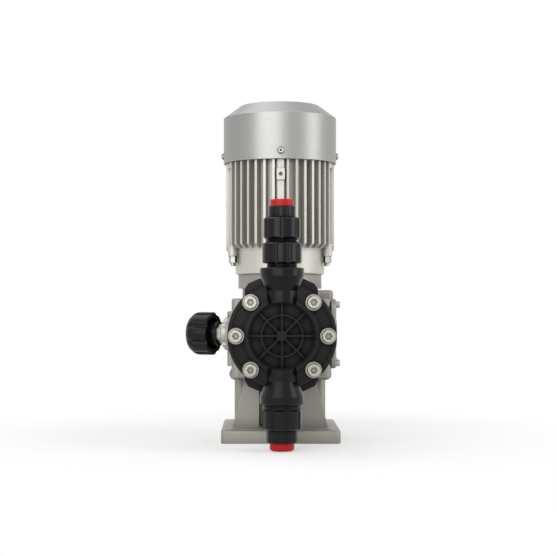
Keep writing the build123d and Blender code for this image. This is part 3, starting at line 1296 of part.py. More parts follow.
def make_fan_cowl():
    inner = COWL_RADIUS - COWL_WALL
    bevel = degrees(atan2(COWL_TOP - COWL_CREASE, COWL_RADIUS - COWL_TOP_RADIUS))
    lean = COWL_WALL * tan(radians(bevel / 2))
    cowl = turned([
        (inner, COWL_LOW), (COWL_RADIUS, COWL_LOW), (COWL_RADIUS, COWL_CREASE),
        (COWL_TOP_RADIUS, COWL_TOP), (0, COWL_TOP), (0, COWL_TOP - COWL_WALL),
        (COWL_TOP_RADIUS - lean, COWL_TOP - COWL_WALL), (inner, COWL_CREASE - lean),
    ])
    spoke = block((-2.2, 2.2), (-COWL_TOP_RADIUS, COWL_TOP_RADIUS), (
        COWL_TOP - 2 * COWL_WALL, COWL_TOP + 1
    ))
    spokes = spoke + Rot(0, 0, 60) * spoke + Rot(0, 0, 120) * spoke
    pitch, width = 6.4, 3.4
    for n in range(5):
        radius = 9.0 + pitch * n
        ring = disc(radius + width, COWL_TOP - 2 * COWL_WALL, COWL_TOP + 1, radius)
        cowl -= ring - spokes
    hole = Pos(0, 0, COWL_SCREW_Z) * Rot(0, 90, 0) * disc(
        SCREW_M4 + RUN_GAP, inner - 2, COWL_RADIUS + 2
    )
    return cowl - around(hole, (0, 90, 180, 270))


COWL_SCREW_LENGTH = 8.5


def make_cowl_screws():
    screw = domed_screw(SCREW_M4, COWL_SCREW_LENGTH, DOME_M4, DOME_M4_HEIGHT)
    place = Pos(0, 0, COWL_SCREW_Z) * Rot(0, 90, 0) * Pos(0, 0, COWL_RADIUS) * screw
    return group(around(place, (0, 90, 180, 270)))


# ---------------------------------------------------------------- terminal box

GLAND_Y = 74.0
LID_SCREW_INSET = 6.0
LID_SCREW_SINK = 2.5
LID_POCKET = DOME_M3 + 0.5
LID_SCREW_BITE = 8.0
GLAND_HEX_RADIUS = 11.0
GLAND_CAP_RADIUS = 10.0


def make_terminal_box():
    outer = fillet(
        block((-BOX_HALF_WIDTH, BOX_HALF_WIDTH), (BOX_SEAT, BOX_BACK), (BOX_LOW, BOX_HIGH))
        .edges().filter_by(Axis.Y), 5.0,
    )
    hollow = block(
        (-BOX_HALF_WIDTH + BOX_WALL, BOX_HALF_WIDTH - BOX_WALL),
        (BOX_SEAT + BOX_WALL, BOX_BACK), (BOX_LOW + BOX_WALL, BOX_HIGH - BOX_WALL),
    )
    posts = [
        Pos(x, 0, z) * Rot(-90, 0, 0) * disc(4.5, BOX_SEAT + 1, BOX_BACK)
        for x, z in lid_screw_places()
    ]
    holes = [
        Pos(x, 0, z) * Rot(-90, 0, 0) * disc(1.5 + RUN_GAP, BOX_BACK - 10, BOX_BACK)
        for x, z in lid_screw_places()
    ]
    entry = Pos(0, 0, (BOX_LOW + BOX_HIGH) / 2) * Rot(-90, 0, 0) * disc(9, BOX_SEAT, BOX_BACK)
    gland = Pos(0, GLAND_Y, 0) * disc(GLAND_RADIUS, BOX_LOW - 1, BOX_LOW + BOX_WALL)
    return (outer - hollow + posts & outer) - holes - entry - gland


def lid_screw_places():
    inset = LID_SCREW_INSET
    return [
        (x, z)
        for x in (-BOX_HALF_WIDTH + inset, BOX_HALF_WIDTH - inset)
        for z in (BOX_LOW + inset, BOX_HIGH - inset)
    ]


def make_terminal_lid():
    lid = fillet(
        block(
            (-BOX_HALF_WIDTH, BOX_HALF_WIDTH), (BOX_BACK, BOX_BACK + LID_THICK), (BOX_LOW, BOX_HIGH)
        ).edges().filter_by(Axis.Y), 5.0,
    )
    lid = fillet(lid.faces().sort_by(Axis.Y)[-1].edges(), 2.0)
    for x, z in lid_screw_places():
        lid -= Pos(x, 0, z) * Rot(-90, 0, 0) * disc(SCREW_M3 + RUN_GAP, BOX_BACK, BOX_BACK + LID_THICK)
        lid -= Pos(x, 0, z) * Rot(-90, 0, 0) * disc(
            LID_POCKET, BOX_BACK + LID_THICK - LID_SCREW_SINK, BOX_BACK + LID_THICK
        )
    return lid


def make_lid_screws():
    seat = LID_THICK - LID_SCREW_SINK
    screw = domed_screw(SCREW_M3, seat + LID_SCREW_BITE, DOME_M3, DOME_M3_HEIGHT)
    depth = BOX_BACK + seat
    return group([Pos(x, depth, z) * Rot(-90, 0, 0) * screw for x, z in lid_screw_places()])


def make_cable_gland():
    low = BOX_LOW - GLAND_LENGTH
    gland = disc(GLAND_RADIUS - RUN_GAP, BOX_LOW - 1, BOX_LOW + BOX_WALL)
    gland += Pos(0, 0, BOX_LOW - 5) * extrude(RegularPolygon(GLAND_HEX_RADIUS, 6), 5)
    gland += disc(GLAND_RADIUS - 0.5, low + 7, BOX_LOW - 4)
    gland += Pos(0, 0, low + 1.5) * extrude(RegularPolygon(GLAND_CAP_RADIUS, 6), 7.5)
    gland += turned([(0, low), (6.5, low), (8.5, low + 1.5), (0, low + 1.5)])
    gland -= disc(GLAND_BORE, low, BOX_LOW + BOX_WALL)
    return Pos(0, GLAND_Y, 0) * gland


# ---------------------------------------------------------------- all nodes

NODES = {
    "housing": make_housing,
    "oil_plugs": make_oil_plugs,
    "level_sight": make_level_sight,
    "side_cover": make_side_cover,
    "side_cover_screws": make_side_cover_screws,
    "worm_shaft": make_worm_shaft,
    "motor_shaft": make_motor_shaft,
    "worm_wheel": make_worm_wheel,
    "eccentric_shaft": make_eccentric_shaft,
    "wheel_bearings": make_wheel_bearings,
    "worm_bearings": make_worm_bearings,
    "follower_disc": make_follower_disc,
    "pushrod": make_pushrod,
    "return_spring": make_return_spring,
    "pushrod_bush": make_pushrod_bush,
    "rod_seal": make_rod_seal,
    "diaphragm_insert": make_diaphragm_insert,
    "diaphragm": make_diaphragm,
    "back_plate": make_back_plate,
    "pump_head": make_pump_head,
    "head_screws": make_head_screws,
    "head_washers": make_head_washers,
    "suction_body": make_suction_body,
    "suction_ball": make_suction_ball,
    "suction_nut": make_suction_nut,
    "suction_connector": make_suction_connector,
    "suction_plug": make_suction_plug,
    "valve_seats": make_valve_seats,
    "valve_guides": make_valve_guides,
    "valve_orings": make_valve_orings,
    "discharge_body": make_discharge_body,
    "discharge_ball": make_discharge_ball,
    "discharge_cage": make_discharge_cage,
    "discharge_lower_nut": make_discharge_lower_nut,
    "discharge_upper_nut": make_discharge_upper_nut,
    "discharge_connector": make_discharge_connector,
    "discharge_plug": make_discharge_plug,
    "stop_plunger": make_stop_plunger,
    "adjuster_hub": make_adjuster_hub,
    "scale_sleeve": make_scale_sleeve,
    "adjuster_spindle": make_adjuster_spindle,
    "adjusting_knob": make_knob,
    "knob_cap": make_knob_cap,
    "motor_adapter": make_motor_adapter,
    "adapter_screws": make_adapter_screws,
    "lower_end_shield": make_lower_end_shield,
    "upper_end_shield": make_upper_end_shield,
    "motor_frame": make_motor_frame,
    "tie_bolts": make_tie_bolts,
    "motor_bearings": make_motor_bearings,
    "stator_core": make_stator_core,
    "stator_windings": make_stator_windings,
    "rotor_core": make_rotor_core,
    "cooling_fan": make_cooling_fan,
    "fan_cowl": make_fan_cowl,
    "cowl_screws": make_cowl_screws,
    "terminal_box": make_terminal_box,
    "terminal_lid": make_terminal_lid,
    "lid_screws": make_lid_screws,
    "cable_gland": make_cable_gland,
}

os.makedirs("parts", exist_ok=True)
for name, make in NODES.items():
    export_step(make(), f"parts/{name}.step")
print("stroke", round(STROKE, 3), "mm, plunger travel", round(PLUNGER_TRAVEL, 4), "mm")
print("knob turns", round(KNOB_TURNS, 4), "cone axis reach", ADJUST_REACH)
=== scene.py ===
import json
import math

import bmesh
import bpy
from bpy.props import FloatProperty, FloatVectorProperty, IntProperty, PointerProperty
from mathutils import Matrix, Vector


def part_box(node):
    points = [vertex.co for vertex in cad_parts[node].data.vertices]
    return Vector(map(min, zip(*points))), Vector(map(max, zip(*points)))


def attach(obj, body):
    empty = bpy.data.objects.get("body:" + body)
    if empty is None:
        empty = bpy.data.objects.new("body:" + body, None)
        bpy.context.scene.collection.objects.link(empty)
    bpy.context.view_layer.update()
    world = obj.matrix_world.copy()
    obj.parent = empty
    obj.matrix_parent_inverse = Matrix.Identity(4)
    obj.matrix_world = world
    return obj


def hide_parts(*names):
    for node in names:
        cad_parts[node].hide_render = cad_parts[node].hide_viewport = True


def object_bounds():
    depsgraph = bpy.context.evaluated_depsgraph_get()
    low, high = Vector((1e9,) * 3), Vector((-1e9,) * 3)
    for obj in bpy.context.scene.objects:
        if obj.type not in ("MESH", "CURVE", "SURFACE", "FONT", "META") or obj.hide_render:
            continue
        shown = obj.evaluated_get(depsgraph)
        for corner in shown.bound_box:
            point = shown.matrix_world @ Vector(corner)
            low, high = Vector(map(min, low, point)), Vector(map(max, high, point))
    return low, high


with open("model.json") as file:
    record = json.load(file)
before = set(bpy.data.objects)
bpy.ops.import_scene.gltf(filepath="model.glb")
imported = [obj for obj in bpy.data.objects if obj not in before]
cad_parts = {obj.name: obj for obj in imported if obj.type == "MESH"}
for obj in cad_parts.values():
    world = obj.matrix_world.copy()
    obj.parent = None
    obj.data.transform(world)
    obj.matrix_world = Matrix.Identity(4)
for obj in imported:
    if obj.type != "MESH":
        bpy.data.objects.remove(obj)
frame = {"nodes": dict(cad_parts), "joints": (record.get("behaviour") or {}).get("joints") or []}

bl_info = {
    "name": "Diaphragm metering pump",
    "version": (1, 0, 0),
    "blender": (4, 5, 0),
    "location": "View3D > Sidebar > Pump",
    "description": "Dresses the solids of a diaphragm metering pump and builds its studio",
    "category": "Object",
}

CAD_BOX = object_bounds()
NODES = frame["nodes"]
MM = 0.001
WHITE = (1.0, 1.0, 1.0, 1.0)

# ------------------------------------------------------------------ places taken from the frame

HEAD_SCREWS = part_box("head_screws")
HEAD_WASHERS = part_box("head_washers")
SHAFT_Z = (HEAD_WASHERS[0].z + HEAD_WASHERS[1].z) / 2
VALVE_Y = sum(corner.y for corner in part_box("discharge_plug")) / 2


def linear(code):
    """An sRGB hex colour as linear RGBA."""
    shades = [int(code[i:i + 2], 16) / 255 for i in (1, 3, 5)]
    shades = [s / 12.92 if s <= 0.04045 else ((s + 0.055) / 1.055) ** 2.4 for s in shades]
    return (*shades, 1.0)


def add(tree, kind, inputs=None, **options):
    """Adds a node, sets its options, and sets or links its inputs by name or number."""
    made = tree.nodes.new(kind)
    for name, value in options.items():
        setattr(made, name, value)
    for name, value in (inputs or {}).items():
        if isinstance(value, tuple) and isinstance(value[0], bpy.types.Node):
            tree.links.new(value[0].outputs[value[1]], made.inputs[name])
        else:
            made.inputs[name].default_value = value
    return made


# ------------------------------------------------------------------ settings


class PumpFinishes(bpy.types.PropertyGroup):
    """Colours that can be changed before the finishes are made."""

    casting: FloatVectorProperty(
        name="Casting", description="Powder coat of the gear casing and foot",
        subtype="COLOR", size=4, default=linear("#a6a39b"))
    fins: FloatVectorProperty(
        name="Motor fins", description="Powder coat of the finned motor frame",
        subtype="COLOR", size=4, default=linear("#d5d2ca"))
    cowl: FloatVectorProperty(
        name="Fan cowl", description="Satin sheet steel of the fan cowl",
        subtype="COLOR", size=4, default=linear("#a0a09e"))
    plastic: FloatVectorProperty(
        name="Pump head", description="Black polypropylene of the wetted end",
        subtype="COLOR", size=4, default=linear("#0a0a09"))
    grip: FloatVectorProperty(
        name="Knob", description="Black polyamide of the stroke knob",
        subtype="COLOR", size=4, default=linear("#121212"))
    plugs: FloatVectorProperty(
        name="Transit plugs", description="Red polyethylene of the plugs",
        subtype="COLOR", size=4, default=linear("#c8161d"))


class PumpSizes(bpy.types.PropertyGroup):
    """Sizes of the fasteners, the threads and the cowl's hem."""

    screw_head: FloatProperty(
        name="Screw head radius", description="Radius over the knurls of a head screw",
        unit="LENGTH", default=6.5 * MM)
    screw_knurls: IntProperty(
        name="Screw knurls", description="Ridges round the head of a head screw", default=36)
    washer: FloatProperty(
        name="Washer", description="Diameter of the washers under the head screws",
        unit="LENGTH", default=16 * MM)
    thread_pitch: FloatProperty(
        name="Thread pitch", description="Pitch of the threads under the union nuts",
        unit="LENGTH", default=1.7 * MM)
    thread_sink: FloatProperty(
        name="Thread sink", description="Depth of a ridge's centre under the body's surface",
        unit="LENGTH", default=0.1 * MM)
    hem: FloatProperty(
        name="Hem radius", description="Radius of the rolled hem of the fan cowl",
        unit="LENGTH", default=0.75 * MM)


class PumpKnob(bpy.types.PropertyGroup):
    """Shape of the stroke knob; distances are along its axis from the joint's point."""

    radius: FloatProperty(
        name="Radius", description="Radius over the lobes", unit="LENGTH", default=23 * MM)
    inner_face: FloatProperty(
        name="Inner face", description="Where the face towards the hub lies", unit="LENGTH",
        default=-13.8 * MM)
    outer_end: FloatProperty(
        name="Outer end", description="Where the domed end stops", unit="LENGTH",
        default=13.6 * MM)
    crown: FloatProperty(
        name="Crown", description="Radius of the domed end's edge", unit="LENGTH",
        default=12 * MM)
    lobes: IntProperty(name="Lobes", description="Lobes round the grip", default=8)
    groove_depth: FloatProperty(
        name="Groove depth", description="Depth between two lobes", unit="LENGTH",
        default=2.8 * MM)
    groove_width: FloatProperty(
        name="Groove width", description="Half width of a groove at a third of its depth",
        unit="LENGTH", default=2.6 * MM)
    groove_floor: FloatProperty(
        name="Groove floor", description="Least radius in a groove beside the inner face",
        unit="LENGTH", default=20.6 * MM)
    groove_runout: FloatProperty(
        name="Groove runout", description="How far before the outer end the grooves stop",
        unit="LENGTH", default=1 * MM)
    bore: FloatProperty(
        name="Spindle bore", description="Radius of the bore for the spindle",
        unit="LENGTH", default=4.05 * MM)
    bore_end: FloatProperty(
        name="Bore end", description="Where the bore for the spindle stops", unit="LENGTH",
        default=8 * MM)
    hollow: FloatProperty(
        name="Hollow", description="Radius of the hollow in the inner face", unit="LENGTH",
        default=17 * MM)
    hollow_floor: FloatProperty(
        name="Hollow floor", description="Where the floor of the hollow lies", unit="LENGTH",
        default=-3.5 * MM)
    cap_seat: FloatProperty(
        name="Cap seat", description="Radius of the seat of the cap", unit="LENGTH",
        default=8.05 * MM)
    cap_depth: FloatProperty(
        name="Cap depth", description="Depth of the seat of the cap", unit="LENGTH",
        default=1.5 * MM)


class PumpStudio(bpy.types.PropertyGroup):
    """Camera and light."""

    distance: FloatProperty(
        name="Camera distance", description="From the camera to the motor axis",
        unit="LENGTH", default=1.45)
    aside: FloatProperty(
        name="Camera aside", description="How far the camera stands left of the motor axis",
        unit="LENGTH", default=0.0215)
    height: FloatProperty(
        name="Camera height", description="Height of the camera above the floor",
        unit="LENGTH", default=0.1478)
    lens: FloatProperty(
        name="Lens", description="Focal length of the camera",
        unit="CAMERA", default=85.51)
    shift_x: FloatProperty(
        name="Shift across", description="Sideways lens shift, in image widths",
        default=0.0327)
    shift_y: FloatProperty(
        name="Shift up", description="Upward lens shift, in image widths", default=0.0438)
    ambient: FloatProperty(
        name="Ambient light", description="Strength of the even light from all round",
        default=0.36)
    key: FloatProperty(
        name="Key light", description="Brightness of the wide soft box on the left",
        default=2.35)
    rim: FloatProperty(
        name="Side light", description="Brightness of the tall soft box on the right",
        default=2.2)
    top: FloatProperty(
        name="Top light", description="Brightness of the soft box overhead", default=1.2)


# ------------------------------------------------------------------ materials


def shaded_material(name):
    """An empty material with its output, shader and object coordinates."""
    made = bpy.data.materials.new(name)
    made.use_nodes = True
    tree = made.node_tree
    tree.nodes.clear()
    coords = add(tree, "ShaderNodeTexCoord")
    shader = add(tree, "ShaderNodeBsdfPrincipled")
    add(tree, "ShaderNodeOutputMaterial", {"Surface": (shader, "BSDF")})
    return made, tree, coords, shader


# cosines of the turn at which an edge starts to get its rubbed wear and painted highlight, and
# at which it has them fully
WORN_AND_HIGHLIT_FROM, WORN_AND_HIGHLIT_TO = 0.985, 0.85
# openness of a corner below which it gets the full painted shade, and above which it gets none
FULL_SHADE_BELOW, NO_SHADE_ABOVE = 0.25, 0.95


def edges_highlit_and_corners_shaded(tree, colour, edge_mm, edge_wear_and_highlight, corner_shade, corner_shade_mm):
    """Rounds the edges to the eye, lightens them towards white as rubbed wear and a painted
    highlight, and darkens the corners with painted shade.
    """
    rounded = add(tree, "ShaderNodeBevel", {"Radius": edge_mm * MM}, samples=4)
    surface = add(tree, "ShaderNodeNewGeometry")
    turn = add(tree, "ShaderNodeVectorMath", {0: (rounded, "Normal"), 1: (surface, "Normal")},
               operation="DOT_PRODUCT")
    worn_and_highlit = add(tree, "ShaderNodeMapRange", {
        "Value": (turn, "Value"), "From Min": WORN_AND_HIGHLIT_FROM, "From Max": WORN_AND_HIGHLIT_TO,
        "To Max": edge_wear_and_highlight,
    })
    # the edges are lightened towards white: rubbed wear and a painted highlight
    lighter = add(tree, "ShaderNodeMix", {0: (worn_and_highlit, "Result"), 6: colour, 7: WHITE},
                  data_type="RGBA")
    # painted shade: corners that the surround reaches less are darkened in the colour
    corner = add(tree, "ShaderNodeAmbientOcclusion", {"Distance": corner_shade_mm * MM}, samples=8)
    unshaded = add(tree, "ShaderNodeMapRange", {
        "Value": (corner, "AO"), "From Min": FULL_SHADE_BELOW, "From Max": NO_SHADE_ABOVE,
        "To Min": 1.0 - corner_shade,
    })
    shaded = add(tree, "ShaderNodeVectorMath", {0: (lighter, 2), "Scale": (unshaded, "Result")},
                 operation="SCALE")
    return rounded, shaded, unshaded


GRAIN_SPREAD = 0.07         # how far the grain moves the roughness either way
LINES_SMOOTHER = 0.05       # how much smoother the lines of a metal get
LINES_ROUGHER = 0.07        # and how much rougher


def moulded_or_cast(name, base, second, patch_mm, roughness, grain_mm, grain_depth_mm,
                    metallic=0.0, specular=0.5, edge_mm=0.5, edge_wear_and_highlight=0.2, corner_shade=0.4,
                    corner_shade_mm=8.0):
    """A finish with soft patches of a second colour, a fine grain, edges lightened by rubbed
    wear and a painted highlight, and painted shade in the corners.
    """
    made, tree, coords, shader = shaded_material(name)
    patches = add(tree, "ShaderNodeTexNoise", {
        "Vector": (coords, "Object"), "Scale": 1 / (patch_mm * MM), "Detail": 4.0,
        "Roughness": 0.6,
    })
    colour = add(tree, "ShaderNodeMix", {0: (patches, "Fac"), 6: base, 7: second},
                 data_type="RGBA")
    rounded, shaded, unshaded = edges_highlit_and_corners_shaded(tree, (colour, 2), edge_mm, edge_wear_and_highlight, corner_shade, corner_shade_mm)
    grain = add(tree, "ShaderNodeTexNoise", {
        "Vector": (coords, "Object"), "Scale": 1 / (grain_mm * MM), "Detail": 3.0,
    })
    uneven = add(tree, "ShaderNodeMapRange", {
        "Value": (grain, "Fac"), "To Min": roughness - GRAIN_SPREAD,
        "To Max": roughness + GRAIN_SPREAD,
    })
    relief = add(tree, "ShaderNodeBump", {
        "Height": (grain, "Fac"), "Distance": grain_depth_mm * MM, "Strength": 1.0,
        "Normal": (rounded, "Normal"),
    })
    tree.links.new(shaded.outputs[0], shader.inputs["Base Color"])
    tree.links.new(uneven.outputs["Result"], shader.inputs["Roughness"])
    tree.links.new(relief.outputs["Normal"], shader.inputs["Normal"])
    # the painted corner shade also dims the specular level
    gloss = add(tree, "ShaderNodeMath", {0: (unshaded, "Result"), 1: specular},
                operation="MULTIPLY")
    tree.links.new(gloss.outputs[0], shader.inputs["Specular IOR Level"])
    shader.inputs["Metallic"].default_value = metallic
    return made


def brushed_metal(name, base, second, roughness, line_mm, depth_mm, stretch,
                  edge_mm=0.3, edge_wear_and_highlight=0.25, corner_shade=0.5, corner_shade_mm=4.0):
    """Bare metal with fine lines, as spinning, turning or rolling leaves them."""
    made, tree, coords, shader = shaded_material(name)
    lines = add(tree, "ShaderNodeMapping", {"Vector": (coords, "Object"), "Scale": stretch})
    brush = add(tree, "ShaderNodeTexNoise", {
        "Vector": (lines, "Vector"), "Scale": 1 / (line_mm * MM), "Detail": 4.0,
    })
    colour = add(tree, "ShaderNodeMix", {0: (brush, "Fac"), 6: base, 7: second},
                 data_type="RGBA")
    # edges lightened by rubbed wear and a painted highlight, and painted shade in the corners
    rounded, shaded, _ = edges_highlit_and_corners_shaded(tree, (colour, 2), edge_mm, edge_wear_and_highlight, corner_shade, corner_shade_mm)
    uneven = add(tree, "ShaderNodeMapRange", {
        "Value": (brush, "Fac"), "To Min": roughness - LINES_SMOOTHER,
        "To Max": roughness + LINES_ROUGHER,
    })
    relief = add(tree, "ShaderNodeBump", {
        "Height": (brush, "Fac"), "Distance": depth_mm * MM, "Strength": 1.0,
        "Normal": (rounded, "Normal"),
    })
    tree.links.new(shaded.outputs[0], shader.inputs["Base Color"])
    tree.links.new(uneven.outputs["Result"], shader.inputs["Roughness"])
    tree.links.new(relief.outputs["Normal"], shader.inputs["Normal"])
    shader.inputs["Metallic"].default_value = 1.0
    return made


def oil_sight_glass(name):
    """Clear acrylic of the oil level sight, tinted by the gear oil behind it."""
    made, tree, coords, shader = shaded_material(name)
    haze = add(tree, "ShaderNodeTexNoise", {"Vector": (coords, "Object"), "Scale": 300.0})
    uneven = add(tree, "ShaderNodeMapRange", {
        "Value": (haze, "Fac"), "To Min": 0.03, "To Max": 0.12,
    })
    tree.links.new(uneven.outputs["Result"], shader.inputs["Roughness"])
    shader.inputs["Base Color"].default_value = linear("#c9a24a")
    shader.inputs["IOR"].default_value = 1.49
    shader.inputs["Transmission Weight"].default_value = 0.6
    return made


def cast_finishes(tint):
    """Powder-coated castings."""
    return {
        # die-cast aluminium under silver powder coat: dull, slightly warm, orange-peel relief
        "casting": moulded_or_cast(
            "powder_coated_die_cast_aluminium", tuple(tint.casting), linear("#9d9a92"),
            patch_mm=14, metallic=0.45, roughness=0.46, grain_mm=1.1, grain_depth_mm=0.05,
            edge_mm=0.9, edge_wear_and_highlight=0.45, corner_shade=0.45, corner_shade_mm=14),
        # the same coat on the motor's die-cast fins, lighter at their edges with rubbed wear and
        # a painted highlight
        "fins": moulded_or_cast(
            "powder_coated_finned_aluminium", tuple(tint.fins), linear("#c8c5bd"),
            patch_mm=10, metallic=0.45, roughness=0.42, grain_mm=0.9, grain_depth_mm=0.04,
            edge_mm=0.5, edge_wear_and_highlight=0.5, corner_shade=0.42, corner_shade_mm=9),
    }


def plastic_finishes(tint):
    """Moulded plastics, rubber and ceramic."""
    return {
        # glass-filled polypropylene, injection moulded: near black, soft broad highlights
        "head": moulded_or_cast(
            "moulded_polypropylene", tuple(tint.plastic), linear("#10100f"),
            patch_mm=9, roughness=0.22, grain_mm=0.5, grain_depth_mm=0.012, specular=0.2,
            edge_mm=0.6, edge_wear_and_highlight=0.03, corner_shade=0.85, corner_shade_mm=7),
        # the same plastic in the unions, a little glossier, its edges lightened by rubbed wear
        # and a painted highlight
        "unions": moulded_or_cast(
            "moulded_union_polypropylene", linear("#090909"), linear("#0f0f0e"),
            patch_mm=6, roughness=0.2, grain_mm=0.45, grain_depth_mm=0.01, specular=0.22,
            edge_mm=0.6, edge_wear_and_highlight=0.05, corner_shade=0.85, corner_shade_mm=6),
        # polyamide grip: satin, a little rougher than the unions
        "grip": moulded_or_cast(
            "moulded_polyamide_grip", tuple(tint.grip), linear("#171716"),
            patch_mm=5, roughness=0.26, grain_mm=0.4, grain_depth_mm=0.02, specular=0.2,
            edge_mm=0.7, edge_wear_and_highlight=0.05, corner_shade=0.85, corner_shade_mm=6),
        # polyethylene transit plugs: waxy red
        "plugs": moulded_or_cast(
            "moulded_polyethylene", tuple(tint.plugs), linear("#ce1a22"),
            patch_mm=5, roughness=0.34, grain_mm=0.8, grain_depth_mm=0.02, specular=0.25,
            edge_mm=0.4, edge_wear_and_highlight=0.12),
        # nitrile rubber of the seals and the diaphragm
        "rubber": moulded_or_cast(
            "moulded_nitrile_rubber", linear("#1b1b1b"), linear("#252525"),
            patch_mm=4, roughness=0.62, grain_mm=0.35, grain_depth_mm=0.03, specular=0.25,
            edge_wear_and_highlight=0.02),
        # white seats and guides of the valves
        "ptfe": moulded_or_cast(
            "machined_ptfe", linear("#dcdbd6"), linear("#cfcec8"),
            patch_mm=3, roughness=0.4, grain_mm=0.3, grain_depth_mm=0.01, specular=0.4),
        # ground and polished valve balls
        "ceramic": moulded_or_cast(
            "polished_alumina", linear("#e6e2d6"), linear("#dcd7c8"),
            patch_mm=2, roughness=0.15, grain_mm=0.2, grain_depth_mm=0.002, specular=0.6),
        "sight": oil_sight_glass("cast_acrylic_sight"),
    }


def outer_metals(tint):
    """Bare metals that show from outside."""
    return {
        # sheet steel with a satin lacquer: broad soft bands of light up and down the cowl
        "cowl": brushed_metal(
            "satin_sheet_steel", tuple(tint.cowl), linear("#9a9a98"), roughness=0.4,
            line_mm=0.6, depth_mm=0.0015, stretch=(0.02, 0.02, 1.0),
            edge_mm=0.8, edge_wear_and_highlight=0.6, corner_shade=0.5, corner_shade_mm=5),
        # A2 stainless screws and washers: turned, bright, slightly warm
        "stainless": brushed_metal(
            "turned_stainless_steel", linear("#b4b1a9"), linear("#a09d95"), roughness=0.24,
            line_mm=0.35, depth_mm=0.004, stretch=(0.3, 0.3, 1.0),
            edge_mm=0.35, edge_wear_and_highlight=0.5, corner_shade=0.95, corner_shade_mm=4),
        # the adjuster's turned and blasted aluminium hub
        "satin": brushed_metal(
            "turned_aluminium", linear("#b7b5ae"), linear("#a9a7a1"), roughness=0.42,
            line_mm=0.4, depth_mm=0.003, stretch=(1.0, 1.0, 0.2),
            edge_mm=0.4, edge_wear_and_highlight=0.35, corner_shade=0.6, corner_shade_mm=5),
    }


def inner_metals():
    """Metals of the drive and the motor, behind the castings."""
    return {
        # shafts and push rod, ground round
        "shaft": brushed_metal(
            "ground_alloy_steel", linear("#a8a8a6"), linear("#989896"), roughness=0.25,
            line_mm=0.3, depth_mm=0.003, stretch=(1.0, 0.1, 1.0)),
        # races of the ball bearings
        "bearing": brushed_metal(
            "ground_bearing_steel", linear("#b2b2b0"), linear("#9c9c9a"), roughness=0.2,
            line_mm=0.3, depth_mm=0.003, stretch=(1.0, 1.0, 0.1)),
        # stacked electrical sheet of the stator and rotor
        "lamination": brushed_metal(
            "stacked_electrical_sheet", linear("#5a5b5d"), linear("#46474a"), roughness=0.5,
            line_mm=0.5, depth_mm=0.06, stretch=(0.001, 0.001, 1.0)),
        # the windings' varnished wire
        "copper": brushed_metal(
            "varnished_copper_wire", linear("#a8572c"), linear("#7d3a1b"), roughness=0.35,
            line_mm=0.7, depth_mm=0.12, stretch=(0.2, 0.2, 1.0)),
        # worm wheel and bush, machined from cast bronze
        "bronze": brushed_metal(
            "machined_bronze", linear("#a67c3e"), linear("#8f682f"), roughness=0.32,
            line_mm=0.4, depth_mm=0.01, stretch=(1.0, 0.3, 0.3)),
    }


def make_materials(scene):
    """Every finish of the pump, by its short name."""
    tint = scene.pump_finishes
    return {
        **cast_finishes(tint), **plastic_finishes(tint), **outer_metals(tint), **inner_metals(),
    }


FINISH_OF_NODE = {
    "casting": ("housing", "side_cover", "terminal_box", "terminal_lid"),
    "fins": ("motor_frame", "motor_adapter", "lower_end_shield", "upper_end_shield"),
    "cowl": ("fan_cowl",),
    "head": ("back_plate", "pump_head", "cooling_fan", "cable_gland"),
    "unions": (
        "suction_body", "suction_nut", "suction_connector", "discharge_body", "discharge_cage",
        "discharge_lower_nut", "discharge_upper_nut", "discharge_connector", "scale_sleeve"),
    "grip": ("adjusting_knob", "knob_cap"),
    "plugs": ("suction_plug", "discharge_plug", "oil_plugs"),
    "stainless": (
        "side_cover_screws", "head_screws", "head_washers", "adapter_screws", "tie_bolts",
        "cowl_screws", "lid_screws", "stop_plunger", "adjuster_spindle", "return_spring"),
    "satin": ("adjuster_hub",),
    "shaft": (
        "worm_shaft", "motor_shaft", "eccentric_shaft", "follower_disc", "pushrod",
        "diaphragm_insert"),
    "bearing": ("wheel_bearings", "worm_bearings", "motor_bearings"),
    "lamination": ("stator_core", "rotor_core"),
    "copper": ("stator_windings",),
    "bronze": ("worm_wheel", "pushrod_bush"),
    "rubber": ("diaphragm", "rod_seal", "valve_orings"),
    "ptfe": ("valve_seats", "valve_guides"),
    "ceramic": ("suction_ball", "discharge_ball"),
    "sight": ("level_sight",),
}


class PUMP_OT_finishes(bpy.types.Operator):
    """Gives every solid of the pump its finish."""

    bl_idname = "pump.finishes"
    bl_label = "Finishes"

    def execute(self, context):
        made = make_materials(context.scene)
        for short, names in FINISH_OF_NODE.items():
            for name in names:
                for slot in NODES[name].material_slots:
                    slot.material = made[short]
        bare = set(NODES) - {name for names in FINISH_OF_NODE.values() for name in names}
        if bare:
            raise RuntimeError(f"no finish for {sorted(bare)}")
        return {"FINISHED"}


def finish(name):
    """A finish that the first operator made, by its full name."""
    return bpy.data.materials[name]


# ------------------------------------------------------------------ mesh and node helpers


LATHE_SIDES = 192
SHARP_ANGLE = math.radians(35)      # edges that turn further than this are shaded sharp


def new_object(name, mesh):
    """A mesh as an object of the scene."""
    made = bpy.data.objects.new(name, mesh)
    bpy.context.scene.collection.objects.link(made)
    return made


def mesh_object(name, vertices, faces, smooth=True):
    """An object with a mesh of the given vertices and faces."""
    mesh = bpy.data.meshes.new(name)
    mesh.from_pydata(vertices, [], faces)
    mesh.validate()
    if smooth:
        mesh.shade_smooth()
    return new_object(name, mesh)


def start_tree(name, sockets):
    """A geometry node tree with its named inputs and one geometry output."""
    tree = bpy.data.node_groups.new(name, "GeometryNodeTree")
    for label, kind in sockets:
        tree.interface.new_socket(name=label, in_out="INPUT", socket_type=kind)
    tree.interface.new_socket(name="Geometry", in_out="OUTPUT", socket_type="NodeSocketGeometry")
    return tree, add(tree, "NodeGroupInput"), add(tree, "NodeGroupOutput")


